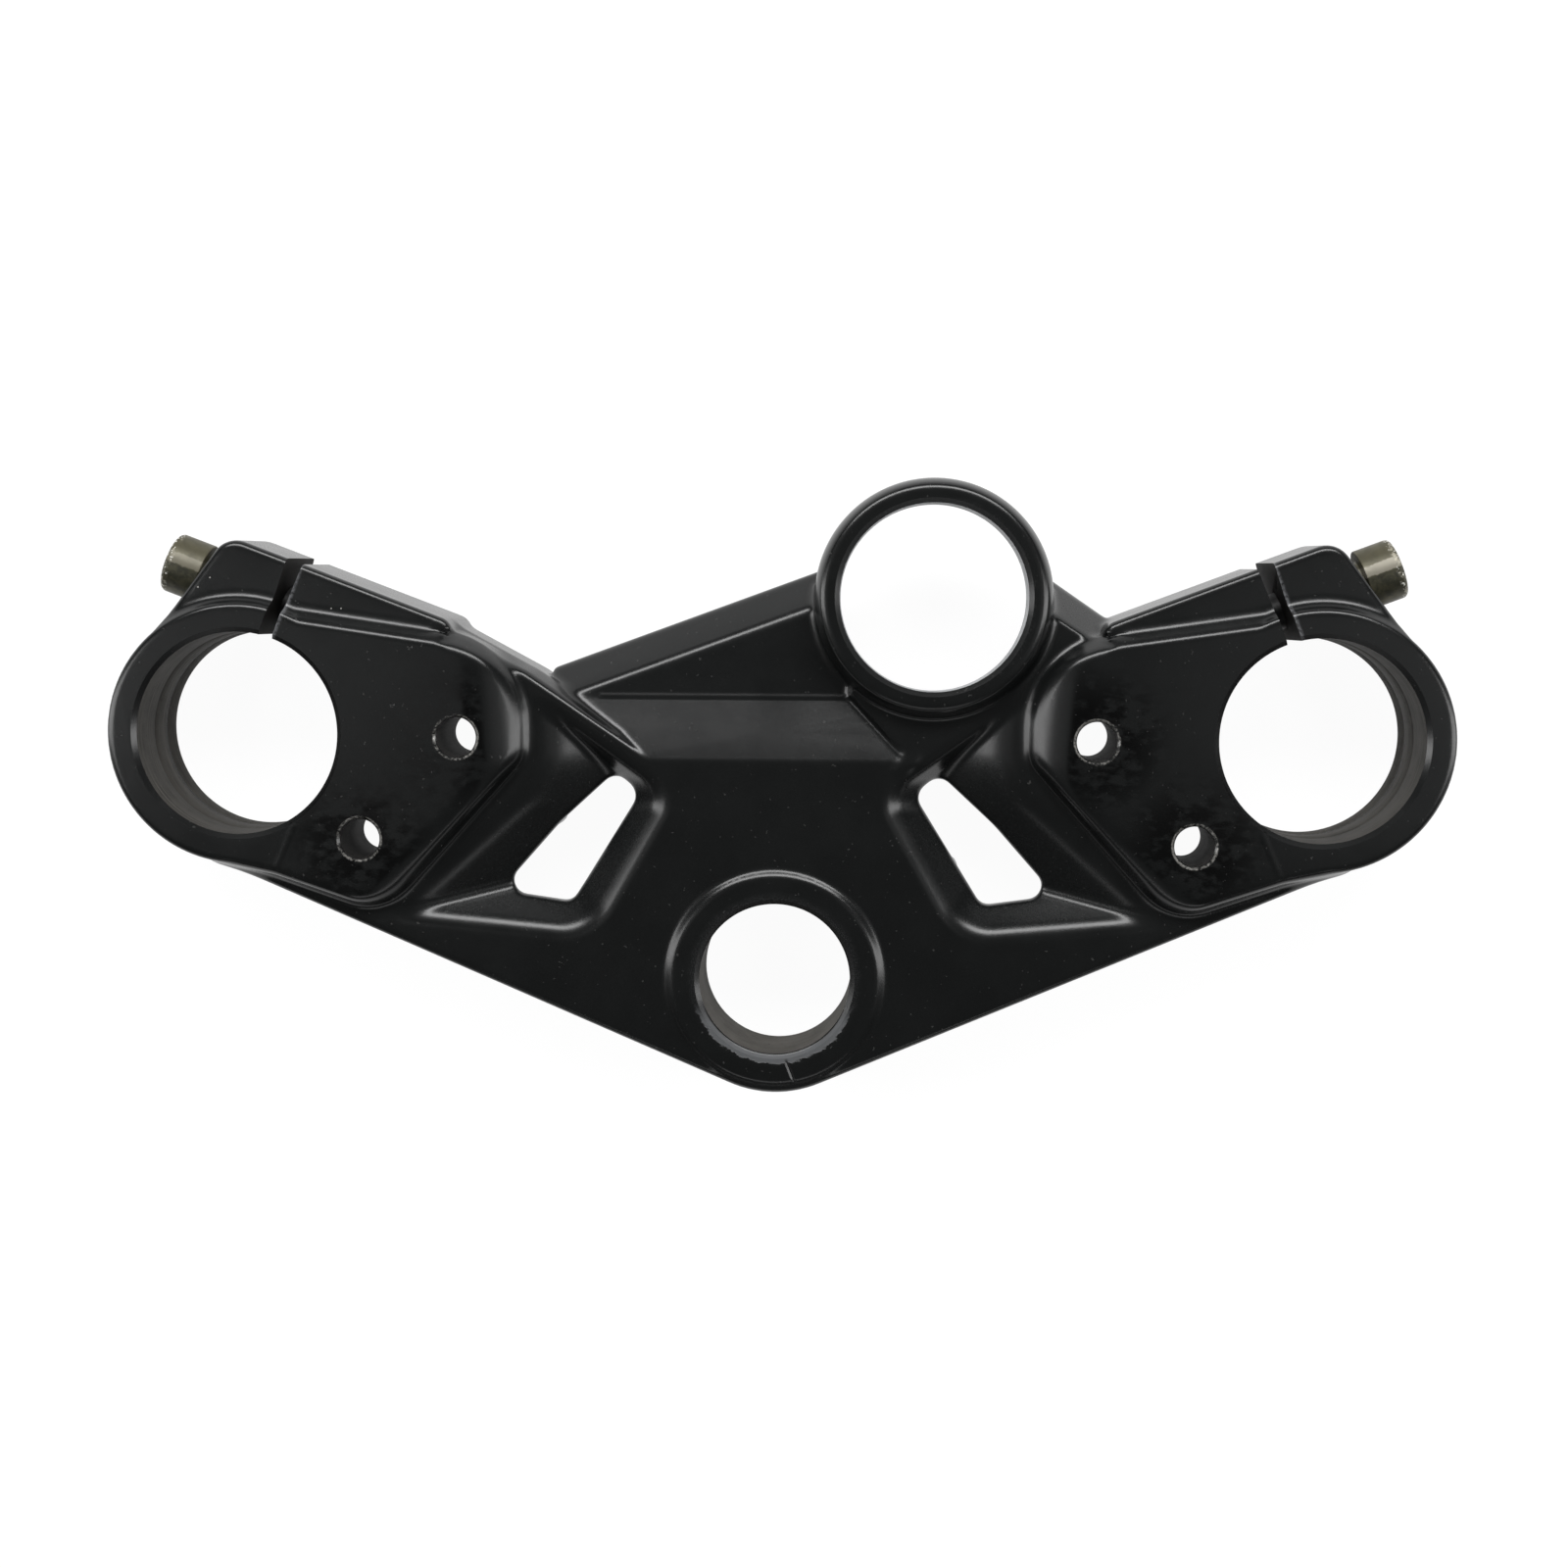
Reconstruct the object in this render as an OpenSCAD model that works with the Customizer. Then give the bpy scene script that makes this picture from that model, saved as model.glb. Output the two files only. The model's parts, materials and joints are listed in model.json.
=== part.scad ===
// Upper fork bridge of a motorcycle, the casting that holds both fork tubes, the stem and the handlebars.
// Millimetres. Z runs up the steering stem, X across the machine, Y forwards to the lock collar.
// The origin lies on the stem axis, at the lower face of the stem boss.

/* [Fork clamps] */
// Distance between the axes of the two fork tubes
fork_spacing = 228.8; // [222:0.4:246]
// Distance from the stem axis forwards to the fork axes
fork_offset = 51.9; // [49:0.1:56]
// Diameter of a fork tube
fork_d = 43; // [38:0.5:45]
// Wall round a fork tube
clamp_wall = 6.3; // [5:0.1:8]
// Height of a fork clamp
clamp_h = 30; // [27:0.5:34]
// How far a clamp reaches below the stem boss
clamp_drop = 3.5; // [2:0.5:6]
// Chamfer at the top of every bore
bore_chamfer = 1; // [0.4:0.1:1.4]

/* [Pinch ears] */
// Angle between a pinch screw and the X axis
screw_angle = 20.6; // [17:0.2:24]
// Distance from a fork axis to its pinch screw
screw_reach = 28; // [27:0.2:30]
// Distance from the fork axis to the slot, towards the screw head
slot_shift = 1.3; // [0:0.1:3]
// Width of the slot that lets a clamp close
slot_w = 3; // [2:0.1:3.8]
// Distance from the fork axis to the outer end of an ear
ear_reach = 38.4; // [37:0.2:41]
// Distance from the fork axis to the seat of the screw head
seat_reach = 21.2; // [20.4:0.1:23]
// How far the ears lie below the top of the clamps
ear_step = 2.5; // [1:0.1:4]
// How far the ears end above the foot of the clamps
ear_foot = 2.5; // [0:0.5:5]
// Width of the slope between a pad and the ledge beside it
ledge_slope = 3; // [1.5:0.1:4]

/* [Pinch screws] */
// Thread diameter of a pinch screw
screw_d = 8; // [6:1:8]
// Length of a pinch screw under its head
screw_l = 34; // [30:1:36]
// Diameter of the screw head
head_d = 13; // [10:0.5:14]
// Height of the screw head
head_h = 8; // [6:0.5:10]
// Hexagon socket in the head, across its flats
socket_af = 6; // [4:0.5:7]
// Depth of the hexagon socket
socket_depth = 4; // [2:0.5:5]
// Clearance round the screw in the ear
screw_clearance = 0.5; // [0.2:0.1:0.8]
// Clearance round the screw in its tapped hole
thread_clearance = 0.05; // [0.02:0.01:0.1]

/* [Steering stem] */
// Bore for the steering stem
stem_d = 32.2; // [28:0.2:35]
// Wall of the stem boss
stem_wall = 7.6; // [6:0.2:9]
// How far the stem boss stands above the plate
stem_step = 1; // [0.4:0.1:2]

/* [Plate] */
// Thickness of the plate's top skin
skin_t = 5.6; // [4:0.2:7]
// Thickness of the plate's outer walls
rim_t = 5; // [4:0.2:6]
// Height at which the outer walls end, above the foot of the stem boss
skirt_z = 2; // [0:0.5:5]
// Thickness of the ribs under the plate
rib_t = 4; // [3:0.2:6]
// Width of the slope along the plate's front edges
edge_in = 1.6; // [0.8:0.1:2.2]
// Height of the slope along the plate's front edges
edge_drop = 6; // [4:0.2:8]

/* [Handlebar pads] */
// How far the pads and the clamps stand above the plate
pad_rise = 4.9; // [3.5:0.1:5.5]
// Slope of a pad's side, measured across it
pad_slope = 1.6; // [0.8:0.1:2.2]
// Distance from the fork axis back to the front hole of a pad
hole_front = 46.9; // [45:0.1:48]
// Distance between the two holes of a pad
hole_pitch = 30; // [28:0.2:32]
// Angle of the line through the two holes
hole_angle = 46.5; // [44:0.5:49]
// Diameter of a handlebar hole
hole_d = 8.5; // [6.5:0.1:10.5]
// Diameter of the boss under each handlebar hole
hole_boss_d = 19; // [16:0.5:22]

/* [Windows] */
// Depth of the pocket round a window, down to the window's edge
pocket_depth = 6; // [4:0.2:8]
// Thickness of the skin at the window's edge
window_t = 4.4; // [3:0.2:5]
// Rounding of the pocket's rim
pocket_rim = 1.2; // [0.6:0.1:1.6]

/* [Lock collar] */
// Place of the lock collar's axis, across the machine
lock_x = 33.2; // [31:0.1:35]
// Place of the lock collar's axis, ahead of the stem axis
lock_y = 81.4; // [80:0.1:84]
// Bore of the lock collar
lock_d = 39.6; // [36:0.2:41]
// Wall of the lock collar at its foot
lock_wall = 5.4; // [4.4:0.1:7]
// Height of the lock collar
lock_h = 12.5; // [11:0.5:14]
// Slope of the collar's outer side, measured across it
lock_slope = 1.6; // [0.6:0.1:2]
// Relief of the web below the collar's bore
lock_relief = 1.4; // [0.8:0.1:2]

/* [Front web] */
// Depth of the recess in front of the plate
recess_depth = 4; // [3:0.2:5]
// Length of the ramp that leads into the recess
ramp_l = 13.7; // [12:0.1:15]
// Width of the sloping front edge
bevel_w = 7; // [5:0.2:8]
// Drop of the sloping front edge
bevel_drop = 7; // [5:0.2:8]
// Thickness of the web under the recess
web_t = 4.6; // [3.5:0.1:5]

/* [Hidden] */
$fn = 96;
arc_steps = 5;
eps = 0.02;
far = 60;
paint = [0.07, 0.075, 0.08];
plating = [0.36, 0.36, 0.27];

fork = [fork_spacing / 2, fork_offset];
fork_r = fork_d / 2;
clamp_r = fork_r + clamp_wall;
clamp_top = clamp_h - clamp_drop;
ear_top = clamp_top - ear_step;
ear_bottom = ear_foot - clamp_drop;
screw_z = (ear_top + ear_bottom) / 2;
plate_top = clamp_top - pad_rise;
stem_h = plate_top + stem_step;
plate_under = plate_top - skin_t;
stem_r = stem_d / 2;
body_r = stem_r + stem_wall + 1;
lock = [lock_x, lock_y];
lock_r = lock_d / 2 + lock_wall;
recess_z = plate_top - recess_depth;
web_under = recess_z - web_t;
hole_r = hole_d / 2;
hole_line = [cos(hole_angle), -sin(hole_angle)] * hole_pitch;
holes = [[-hole_front, -0.5], [-hole_front, -0.5] + hole_line];

// Corner lists are [x, y, radius] in anticlockwise order, for the right half of the casting
// Foot of the ledge beside the ear, given along and across the pinch screw
ledge_end = 33.5;
ear_side = 17;
// Where the plate's front edge leaves the centre line, and where its ridge runs forwards to the arm
plate_front = 46.5;
ridge_start = 25.8;
arm_notch = [51.3, 65.6];
arm_waist = [45.6, 61.9];

// Unit vector, and the unit vector at its left
function unit(v) = v / norm(v);
function turned(v) = [-v[1], v[0]];
function point(c, i) = let (q = c[(i + len(c)) % len(c)]) [q[0], q[1]];
function placed(c, at) = [for (q = c) [q[0] + at[0], q[1] + at[1], q[2]]];

// Point at a distance along the screw (towards the casting's middle) and out along the slot
function at_clamp(along, out) =
    fork + along * [-cos(screw_angle), -sin(screw_angle)] + out * [-sin(screw_angle), cos(screw_angle)];

// Every corner moved inwards by t, with its radius following
function inset(c, t) = [
    for (i = [0 : len(c) - 1])
        let (
            d1 = unit(point(c, i) - point(c, i - 1)),
            d2 = unit(point(c, i + 1) - point(c, i)),
            m = point(c, i) + t / (1 + d1 * d2) * (turned(d1) + turned(d2)),
            way = cross(d1, d2) > 0 ? 1 : -1
        )
        [m[0], m[1], max(0.3, c[i][2] - way * t)]
];

// Each corner replaced by an arc of its own radius
function rounded(c) = [
    for (i = [0 : len(c) - 1])
        let (
            d1 = unit(point(c, i) - point(c, i - 1)),
            d2 = unit(point(c, i + 1) - point(c, i)),
            turn = atan2(cross(d1, d2), d1 * d2),
            way = turn > 0 ? 1 : -1,
            start = point(c, i) - d1 * c[i][2] * tan(abs(turn) / 2),
            middle = start + way * c[i][2] * turned(d1)
        )
        for (k = [0 : arc_steps])
            let (a = turn * k / arc_steps, v = start - middle)
            middle + [v[0] * cos(a) - v[1] * sin(a), v[0] * sin(a) + v[1] * cos(a)]
];

// Solid through a stack of outlines with as many points each, given with their heights
module loft(outlines, heights) {
    n = len(outlines[0]);
    levels = len(heights);
    points = [
        for (j = [0 : levels - 1])
            for (p = outlines[j]) [p[0], p[1], heights[j]]
    ];
    sides = [
        for (j = [0 : levels - 2])
            for (i = [0 : n - 1])
                let (a = j * n + i, b = j * n + (i + 1) % n)
                each [[a, a + n, b + n], [a, b + n, b]]
    ];
    lower = [for (i = [0 : n - 1]) i];
    upper = [for (i = [n - 1 : -1 : 0]) (levels - 1) * n + i];
    polyhedron(points = points, faces = concat(sides, [lower, upper]));
}

// Corners of a handlebar pad, seen from its fork axis
pad_corners = [
    [-59.9, 16.8, 18],
    [-59.6, -4.2, 5],
    [-30.4, -37.2, 11],
    [-7.5, -29.5, 12],
    [8, -26.2, 5],
    [9, 0, 4],
    [-6, 24.6, 4]
];

// Corners of a pocket's rim, and of the window at its bottom
pocket_corners = [
    [23.6, 39.8, 7],
    [40.8, 9.3, 7],
    [81, 12.9, 3],
    [48.6, 42.2, 9],
    [50, 58.8, 1.5]
];
window_corners = [
    [29.4, 39.4, 3.6],
    [44.2, 15.4, 4],
    [60, 17.6, 3.2],
    [46.6, 32.9, 60],
    [34.9, 43.7, 3.6]
];

// Tangent line under the stem boss and the fork clamp: its direction and two touching points
tangent_angle = atan2(fork[1], fork[0]) - asin((clamp_r - body_r) / norm(fork));
tangent_out = [sin(tangent_angle), -cos(tangent_angle)];
stem_touch = body_r * tangent_out;
fork_touch = fork + clamp_r * tangent_out;

// Outline of the plate's right arm, up to a line beside the centre
arm_corners = [
    [rib_t / 2 - rim_t, -body_r + 2, 0.3],
    [stem_touch[0], stem_touch[1], 0.3],
    [fork_touch[0], fork_touch[1], 0.3],
    [fork[0], fork[1], 0.3],
    concat(at_clamp(8, clamp_r - 1.8), 2),
    concat(at_clamp(ledge_end, ear_reach - 0.6), 4),
    concat(arm_notch, 1),
    concat(arm_waist, 6),
    [ridge_start, plate_front, 5],
    [rib_t / 2 - rim_t, plate_front, 0.3]
];

// Outline of the pinch ear and its ledge, from the top down
ear_corners = [
    concat(at_clamp(1.3 - clamp_r, 6), 2),
    concat(at_clamp(8, 6), 2),
    concat(at_clamp(ledge_end - 1.6, ear_reach - 3.3), 0.5),
    concat(at_clamp(ledge_end + 1.8, ear_reach - 1.6), 0.6),
    concat(at_clamp(ledge_end - 0.5, ear_reach), 3),
    concat(at_clamp(-ear_side, ear_reach), 3.5)
];

module both_sides() {
    children();
    mirror([1, 0, 0]) children();
}

// Turned ring: wall from the bore out to a foot radius, with a sloping outer side
module collar(bore_r, foot_r, top_r, low, high, round_r) {
    translate([0, 0, low])
        rotate_extrude()
            polygon([
                [bore_r, 0],
                [foot_r, 0],
                [foot_r, high - low - (foot_r - top_r) * 2],
                [top_r + round_r * 0.3, high - low - round_r * 0.3],
                [top_r - round_r * 0.3, high - low],
                [bore_r, high - low]
            ]);
}

// Bore right through, with a chamfer at its top
module bore(r, high) {
    translate([0, 0, -far])
        cylinder(r = r, h = 2 * far);
    translate([0, 0, high - bore_chamfer])
        cylinder(r1 = r, r2 = r + bore_chamfer + 1, h = bore_chamfer + 1);
}

module pad() {
    corners = placed(pad_corners, fork);
    loft(
        [
            rounded(inset(corners, -pad_slope)),
            rounded(inset(corners, -pad_slope)),
            rounded(inset(corners, 0)),
            rounded(inset(corners, 0.5))
        ],
        [plate_under + 1, plate_top, clamp_top - 0.4, clamp_top]
    );
}

// Pocket that narrows from its rim to the window, and the window through the skin
module pocket_cut() {
    rim = rounded(pocket_corners);
    edge = rounded(window_corners);
    wide = rounded(inset(pocket_corners, -pocket_rim));
    window_z = plate_top - pocket_depth;
    loft([edge, edge, rim, wide, wide],
        [window_z - far, window_z, plate_top - pocket_rim / 2, plate_top + eps, plate_top + 1]);
}

// The skin that follows a pocket on the underside
module pocket_shell() {
    translate([0, 0, plate_top - pocket_depth - window_t])
        linear_extrude(pocket_depth + window_t - 1)
            polygon(rounded(inset(pocket_corners, -rib_t)));
}

// Slope along the plate's front edge, from the end of the ledge to the web
module edge_cut() {
    run = at_clamp(ledge_end, ear_reach - 0.6) - arm_notch;
    translate(concat(arm_notch, plate_top))
        rotate([0, 0, atan2(run[1], run[0])])
            translate([0, -edge_in, 0])
                rotate([-atan2(edge_drop, edge_in), 0, 0])
                    translate([0, -edge_drop, 0])
                        cube([norm(run), 3 * edge_drop, 2 * edge_drop]);
}

module arm() {
    difference() {
        translate([0, 0, skirt_z])
            linear_extrude(plate_top - skirt_z)
                polygon(rounded(arm_corners));
        arm_hollow();
        edge_cut();
    }
    pocket_shell();
    for (h = holes)
        translate(concat(fork + h, skirt_z))
            cylinder(d = hole_boss_d, h = clamp_top - skirt_z - 1);
}

// Hollow underside between the outer walls, with two ribs left across it
module arm_hollow() {
    difference() {
        translate([0, 0, skirt_z - 1])
            linear_extrude(plate_under - skirt_z + 1)
                polygon(rounded(inset(arm_corners, rim_t)));
        translate([fork[0] - rib_t / 2, 0, skirt_z - 2])
            cube([rib_t, fork[1], far]);
        for (h = holes)
            translate(concat(fork + h, skirt_z - 2))
                rotate([0, 0, -hole_angle - 90])
                    translate([-far, -rib_t / 2, 0])
                        cube([2 * far, rib_t, far]);
        translate([0, 0, skirt_z - 2])
            cylinder(r = body_r, h = far);
    }
}

module ear() {
    translate([0, 0, ear_bottom])
        linear_extrude(ear_top - ear_bottom)
            polygon(rounded(ear_corners));
    intersection() {
        linear_extrude(clamp_top)
            polygon(rounded(ear_corners));
        translate(concat(fork, ear_top - 1))
            cylinder(r1 = clamp_r + ledge_slope / 2 + 1, r2 = clamp_r - 1.4, h = clamp_top - ear_top + 1);
    }
    loft([placed(ledge_line(ledge_slope), fork), placed(ledge_line(0), fork)], [ear_top - 0.1, clamp_top]);
}

// Strip along the pad's front edge, as wide as the slope down to the ledge
function ledge_line(w) = let (
    a = point(pad_corners, 6),
    b = point(pad_corners, 0),
    out = turned(unit(a - b)),
    end = a + (b - a) * 0.7
) [for (q = [end - 4 * out, a - 4 * out, a + w * out, end + w * out]) [q[0], q[1], 0]];

// Turns its children from screw axis = +Z to the place of the right pinch screw, head outwards
module at_screw() {
    translate(concat(at_clamp(-seat_reach, screw_reach), screw_z))
        rotate([0, 0, screw_angle])
            rotate([0, 90, 0])
                children();
}

module fork_clamp() {
    translate(concat(fork, 0))
        collar(fork_r - 1, clamp_r, clamp_r - 1.4, -clamp_drop, clamp_top, 1);
}

module clamp_cuts() {
    translate(concat(fork, 0))
        bore(fork_r, clamp_top);
    translate(concat(at_clamp(-slot_shift, 0), -far))
        rotate([0, 0, screw_angle + 90])
            translate([0, -slot_w / 2, 0])
                cube([far, slot_w, 2 * far]);
    at_screw() {
        cylinder(d = head_d + 1.6, h = far / 2);
        translate([0, 0, slot_shift - seat_reach])
            cylinder(d = screw_d + 2 * screw_clearance, h = far);
        translate([0, 0, -screw_l - 2])
            cylinder(d = screw_d + 2 * thread_clearance, h = screw_l + 3);
    }
}

module stem_boss() {
    collar(stem_r - 1, body_r, body_r - 1.8, 0, stem_h, 0.8);
}

module lock_collar() {
    translate(concat(lock, 0))
        collar(lock_d / 2 - 1, lock_r, lock_r - lock_slope, clamp_top - lock_h, clamp_top, 1);
}

// Web that carries the lock collar: the high part beside the collar and the recess in front of the plate
front_line = [[-48.9, 65.8], [6.2, 86.1]];
front_dir = unit(front_line[1] - front_line[0]);
web_ridge = [[56, 74], [71.2, 69.4], [59.2, 77.2]];
high_web_corners = [
    [24.5, plate_front - 2, 0.3],
    [60, plate_front + 5, 0.3],
    concat(web_ridge[1], 1),
    concat(web_ridge[2], 0.5),
    [lock_x + 10, lock_y, 0.3],
    [lock_x - 10, lock_y, 0.3],
    [15.6, 61, 0.5],
    [27.4, plate_front + 1.4, 1.5]
];
low_web_corners = [
    [arm_waist[0] * -1 - 2, arm_waist[1] - 6, 0.5],
    [0, plate_front - 8, 0.3],
    [30, plate_front - 4, 0.3],
    [34, lock_y, 0.5],
    concat(front_line[1] + front_dir * 6, 0.5),
    concat(front_line[0], 0.5)
];
side_web_corners = [
    concat(web_ridge[0], 0.5),
    [66, 68, 0.5],
    [76, 70, 0.5],
    [76, 73.3, 0.5],
    [57.5, 86.1, 0.5]
];

// Solid under the ramp and the floor of the recess
module ramp_body() {
    rotate([90, 0, 90])
        translate([0, 0, -far])
            linear_extrude(2 * far)
                polygon([
                    [0, 0],
                    [0, plate_top],
                    [plate_front, plate_top],
                    [plate_front + ramp_l, recess_z],
                    [2 * far, recess_z],
                    [2 * far, 0]
                ]);
}

// Solid under the sloping front edge
module bevel_body() {
    translate(concat(front_line[0], 0))
        rotate([0, 0, atan2(front_dir[1], front_dir[0])])
            rotate([90, 0, 90])
                translate([0, 0, -far])
                    linear_extrude(3 * far)
                        polygon([
                            [0, 0],
                            [0, recess_z - bevel_drop],
                            [-bevel_w, recess_z],
                            [-bevel_w - far, recess_z + far],
                            [-bevel_w - far, 0]
                        ]);
}

module low_web() {
    intersection() {
        translate([0, 0, skirt_z + 3])
            linear_extrude(plate_top - skirt_z - 3)
                polygon(rounded(low_web_corners));
        ramp_body();
        bevel_body();
    }
}

module high_web() {
    translate([0, 0, web_under])
        linear_extrude(plate_top - web_under)
            polygon(rounded(high_web_corners));
    hull() {
        translate([0, 0, skirt_z + 3])
            linear_extrude(recess_z - bevel_drop - skirt_z - 3)
                polygon(rounded(side_web_corners));
        translate([0, 0, web_under])
            linear_extrude(plate_top - web_under)
                polygon(web_ridge);
    }
}

module web_hollow() {
    translate([0, 0, -eps])
        linear_extrude(web_under + eps)
            polygon(rounded(inset(low_web_corners, rim_t)));
}

module top_yoke() {
    color(paint)
        difference() {
            union() {
                difference() {
                    low_web();
                    web_hollow();
                }
                high_web();
                both_sides() {
                    arm();
                    ear();
                    pad();
                    fork_clamp();
                }
                stem_boss();
                lock_collar();
            }
            both_sides() {
                pocket_cut();
                clamp_cuts();
                for (h = holes)
                    translate(concat(fork + h, -far))
                        cylinder(r = hole_r, h = 2 * far);
            }
            bore(stem_r, stem_h);
            translate(concat(lock, 0))
                bore(lock_d / 2, clamp_top);
            translate(concat(lock, -far))
                cylinder(r = lock_d / 2 + lock_relief, h = far + clamp_top - lock_h);
        }
}

module pinch_bolt() {
    color(plating)
        at_screw()
            difference() {
                union() {
                    translate([0, 0, -screw_l])
                        cylinder(d = screw_d, h = screw_l);
                    cylinder(d = head_d, h = head_h - 0.6);
                    translate([0, 0, head_h - 0.6])
                        cylinder(d1 = head_d, d2 = head_d - 1.2, h = 0.6);
                }
                translate([0, 0, head_h - socket_depth])
                    cylinder(d = socket_af / cos(30), h = socket_depth + 1, $fn = 6);
            }
}

module left_pinch_bolt() {
    mirror([1, 0, 0]) pinch_bolt();
}

module right_pinch_bolt() {
    pinch_bolt();
}

top_yoke();
left_pinch_bolt();
right_pinch_bolt();
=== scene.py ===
"""Looks of an upper fork bridge: one black casting, and the two plated pinch screws that close its fork clamps.

The casting is worked out as a distance field from the outlines of its CAD solid, so that its edges and inner
corners come out as round as those of a sand casting. Bores, slots and screw holes are cut afterwards.
Sizes in the functions are millimetres, in the frame of the part: Z up the steering stem, Y forwards, X across.
"""

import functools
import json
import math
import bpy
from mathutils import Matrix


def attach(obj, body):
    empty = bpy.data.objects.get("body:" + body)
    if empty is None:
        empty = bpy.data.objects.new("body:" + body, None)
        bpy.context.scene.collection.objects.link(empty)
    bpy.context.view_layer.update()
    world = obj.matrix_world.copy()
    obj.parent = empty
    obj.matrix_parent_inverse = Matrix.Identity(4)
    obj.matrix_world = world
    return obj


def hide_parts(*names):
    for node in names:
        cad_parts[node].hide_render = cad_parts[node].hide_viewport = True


bl_info = {
    "name": "Upper fork bridge",
    "version": (1, 0, 0),
    "blender": (4, 5, 0),
    "location": "View3D > Sidebar > Fork bridge",
    "description": "Builds the cast fork bridge, its pinch screws, their finishes and a plain studio",
    "category": "Add Mesh",
}

import bpy
import numpy as np
from bpy.props import FloatProperty, FloatVectorProperty, IntProperty, PointerProperty
from mathutils import Euler, Vector

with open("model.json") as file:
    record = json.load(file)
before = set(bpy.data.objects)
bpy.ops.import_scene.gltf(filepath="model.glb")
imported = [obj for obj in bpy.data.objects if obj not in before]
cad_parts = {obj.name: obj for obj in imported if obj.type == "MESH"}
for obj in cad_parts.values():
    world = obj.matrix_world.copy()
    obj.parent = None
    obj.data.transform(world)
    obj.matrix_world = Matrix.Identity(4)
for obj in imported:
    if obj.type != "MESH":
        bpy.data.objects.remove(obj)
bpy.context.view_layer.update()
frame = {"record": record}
MM = 0.001
MOUNTS = {m["name"]: m for m in frame["record"]["mounts"]}


def mount_place(name):
    """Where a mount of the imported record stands, in millimetres."""
    return [v / MM for v in MOUNTS[name]["pos_m"]]


FORK_X, FORK_Y = mount_place("right_fork_clamp")[:2]
LOCK_X, LOCK_Y = mount_place("lock_collar_bore")[:2]


# ---- Sizes and colours ----


def length(name, words, value, **limits):
    """A size in millimetres."""
    return FloatProperty(name=name, description=words + ", mm", default=value, **limits)


def tint(name, words, value):
    """A colour, linear RGB."""
    return FloatVectorProperty(name=name, description=words, subtype="COLOR", size=3, default=value)


class BridgeSizes(bpy.types.PropertyGroup):
    fork_r: length("Fork bore", "Radius of a fork tube's bore", 21.5)
    clamp_wall: length("Clamp wall", "Wall round a fork tube", 6.3)
    clamp_top: length("Clamp top", "Height of the clamps and pads", 26.5)
    clamp_foot: length("Clamp foot", "Height of the clamps' lower faces", -3.5)
    ear_top: length("Ear top", "Height of the pinch ears", 24.0)
    plate_top: length("Plate top", "Height of the plate", 21.6)
    skin: length("Skin", "Thickness of the plate's skin", 5.6)
    wall: length("Outer wall", "Thickness of the plate's outer walls", 5.0)
    skirt: length("Skirt", "Height at which the outer walls end", 2.0)
    recess: length("Recess floor", "Height of the recess in front of the plate", 17.6)
    pocket: length("Pocket depth", "Depth of the pockets round the windows", 6.0)
    screw_angle: FloatProperty(name="Screw angle", description="Pinch screw's angle to X, degrees", default=20.6)
    slot_w: length("Slot width", "Width of the clamps' slots", 3.0)
    screw_r: length("Screw radius", "Radius of a pinch screw's thread", 4.0)
    screw_l: length("Screw length", "Length of a pinch screw under its head", 34.0)
    head_r: length("Head radius", "Radius of a pinch screw's head", 6.5)
    head_h: length("Head height", "Height of a pinch screw's head", 8.0)
    slot_shift: length("Slot place", "Slot's distance from the fork axis", 1.3)
    hole_r: length("Handlebar hole", "Radius of a handlebar hole", 4.25)
    stem_r: length("Stem bore", "Radius of the stem bore", 16.1)
    lock_r: length("Lock bore", "Radius of the lock collar's bore", 19.8)
    cell: length("Cell", "Cell of the distance field", 0.5, min=0.25)
    triangles: IntProperty(name="Triangles", description="Triangles kept of the casting's skin", default=150000)


class BridgeColours(bpy.types.PropertyGroup):
    paint: tint("Paint", "Satin black paint", (0.0042, 0.0046, 0.0046))
    bare: tint("Bare bore", "Stained bare metal of the fork bores", (0.042, 0.039, 0.034))
    pale: tint("Lock bore", "Bare metal of the lock collar's bore", (0.32, 0.33, 0.34))
    plating: tint("Plating", "Olive plating of the screws", (0.066, 0.06, 0.033))
    # Steel colours the worn rims of the screw heads, and also the painted highlight band along them.
    steel: tint("Steel", "Worn rims of the screw heads", (0.62, 0.58, 0.47))


# ---- Outlines ----


def at_clamp(along, out):
    """Point beside the right fork bore: along its screw towards the middle, and out along the slot."""
    a = math.radians(sizes().screw_angle)
    return [FORK_X - along * math.cos(a) - out * math.sin(a), FORK_Y - along * math.sin(a) + out * math.cos(a)]


def clamp_ways(x, y):
    """Of places given from the right fork axis: along its screw towards the middle, and out along the slot."""
    a = math.radians(sizes().screw_angle)
    return x * -math.cos(a) - y * math.sin(a), y * math.cos(a) - x * math.sin(a)


def sizes():
    return bpy.context.scene.bridge_sizes


def colours():
    return bpy.context.scene.bridge_colours


def shade(colour, share):
    """A colour made darker or lighter."""
    return tuple(v * share for v in colour)


def edge_ways(p):
    """Unit vectors of the edges before and after each corner, and the normal at the left of each."""
    before = p - np.roll(p, 1, axis=0)
    after = np.roll(p, -1, axis=0) - p
    before /= np.linalg.norm(before, axis=1)[:, None]
    after /= np.linalg.norm(after, axis=1)[:, None]
    left = lambda v: np.stack([-v[:, 1], v[:, 0]], axis=1)
    return before, after, left(before), left(after)


def cross(a, b):
    return a[:, 0] * b[:, 1] - a[:, 1] * b[:, 0]


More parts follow.
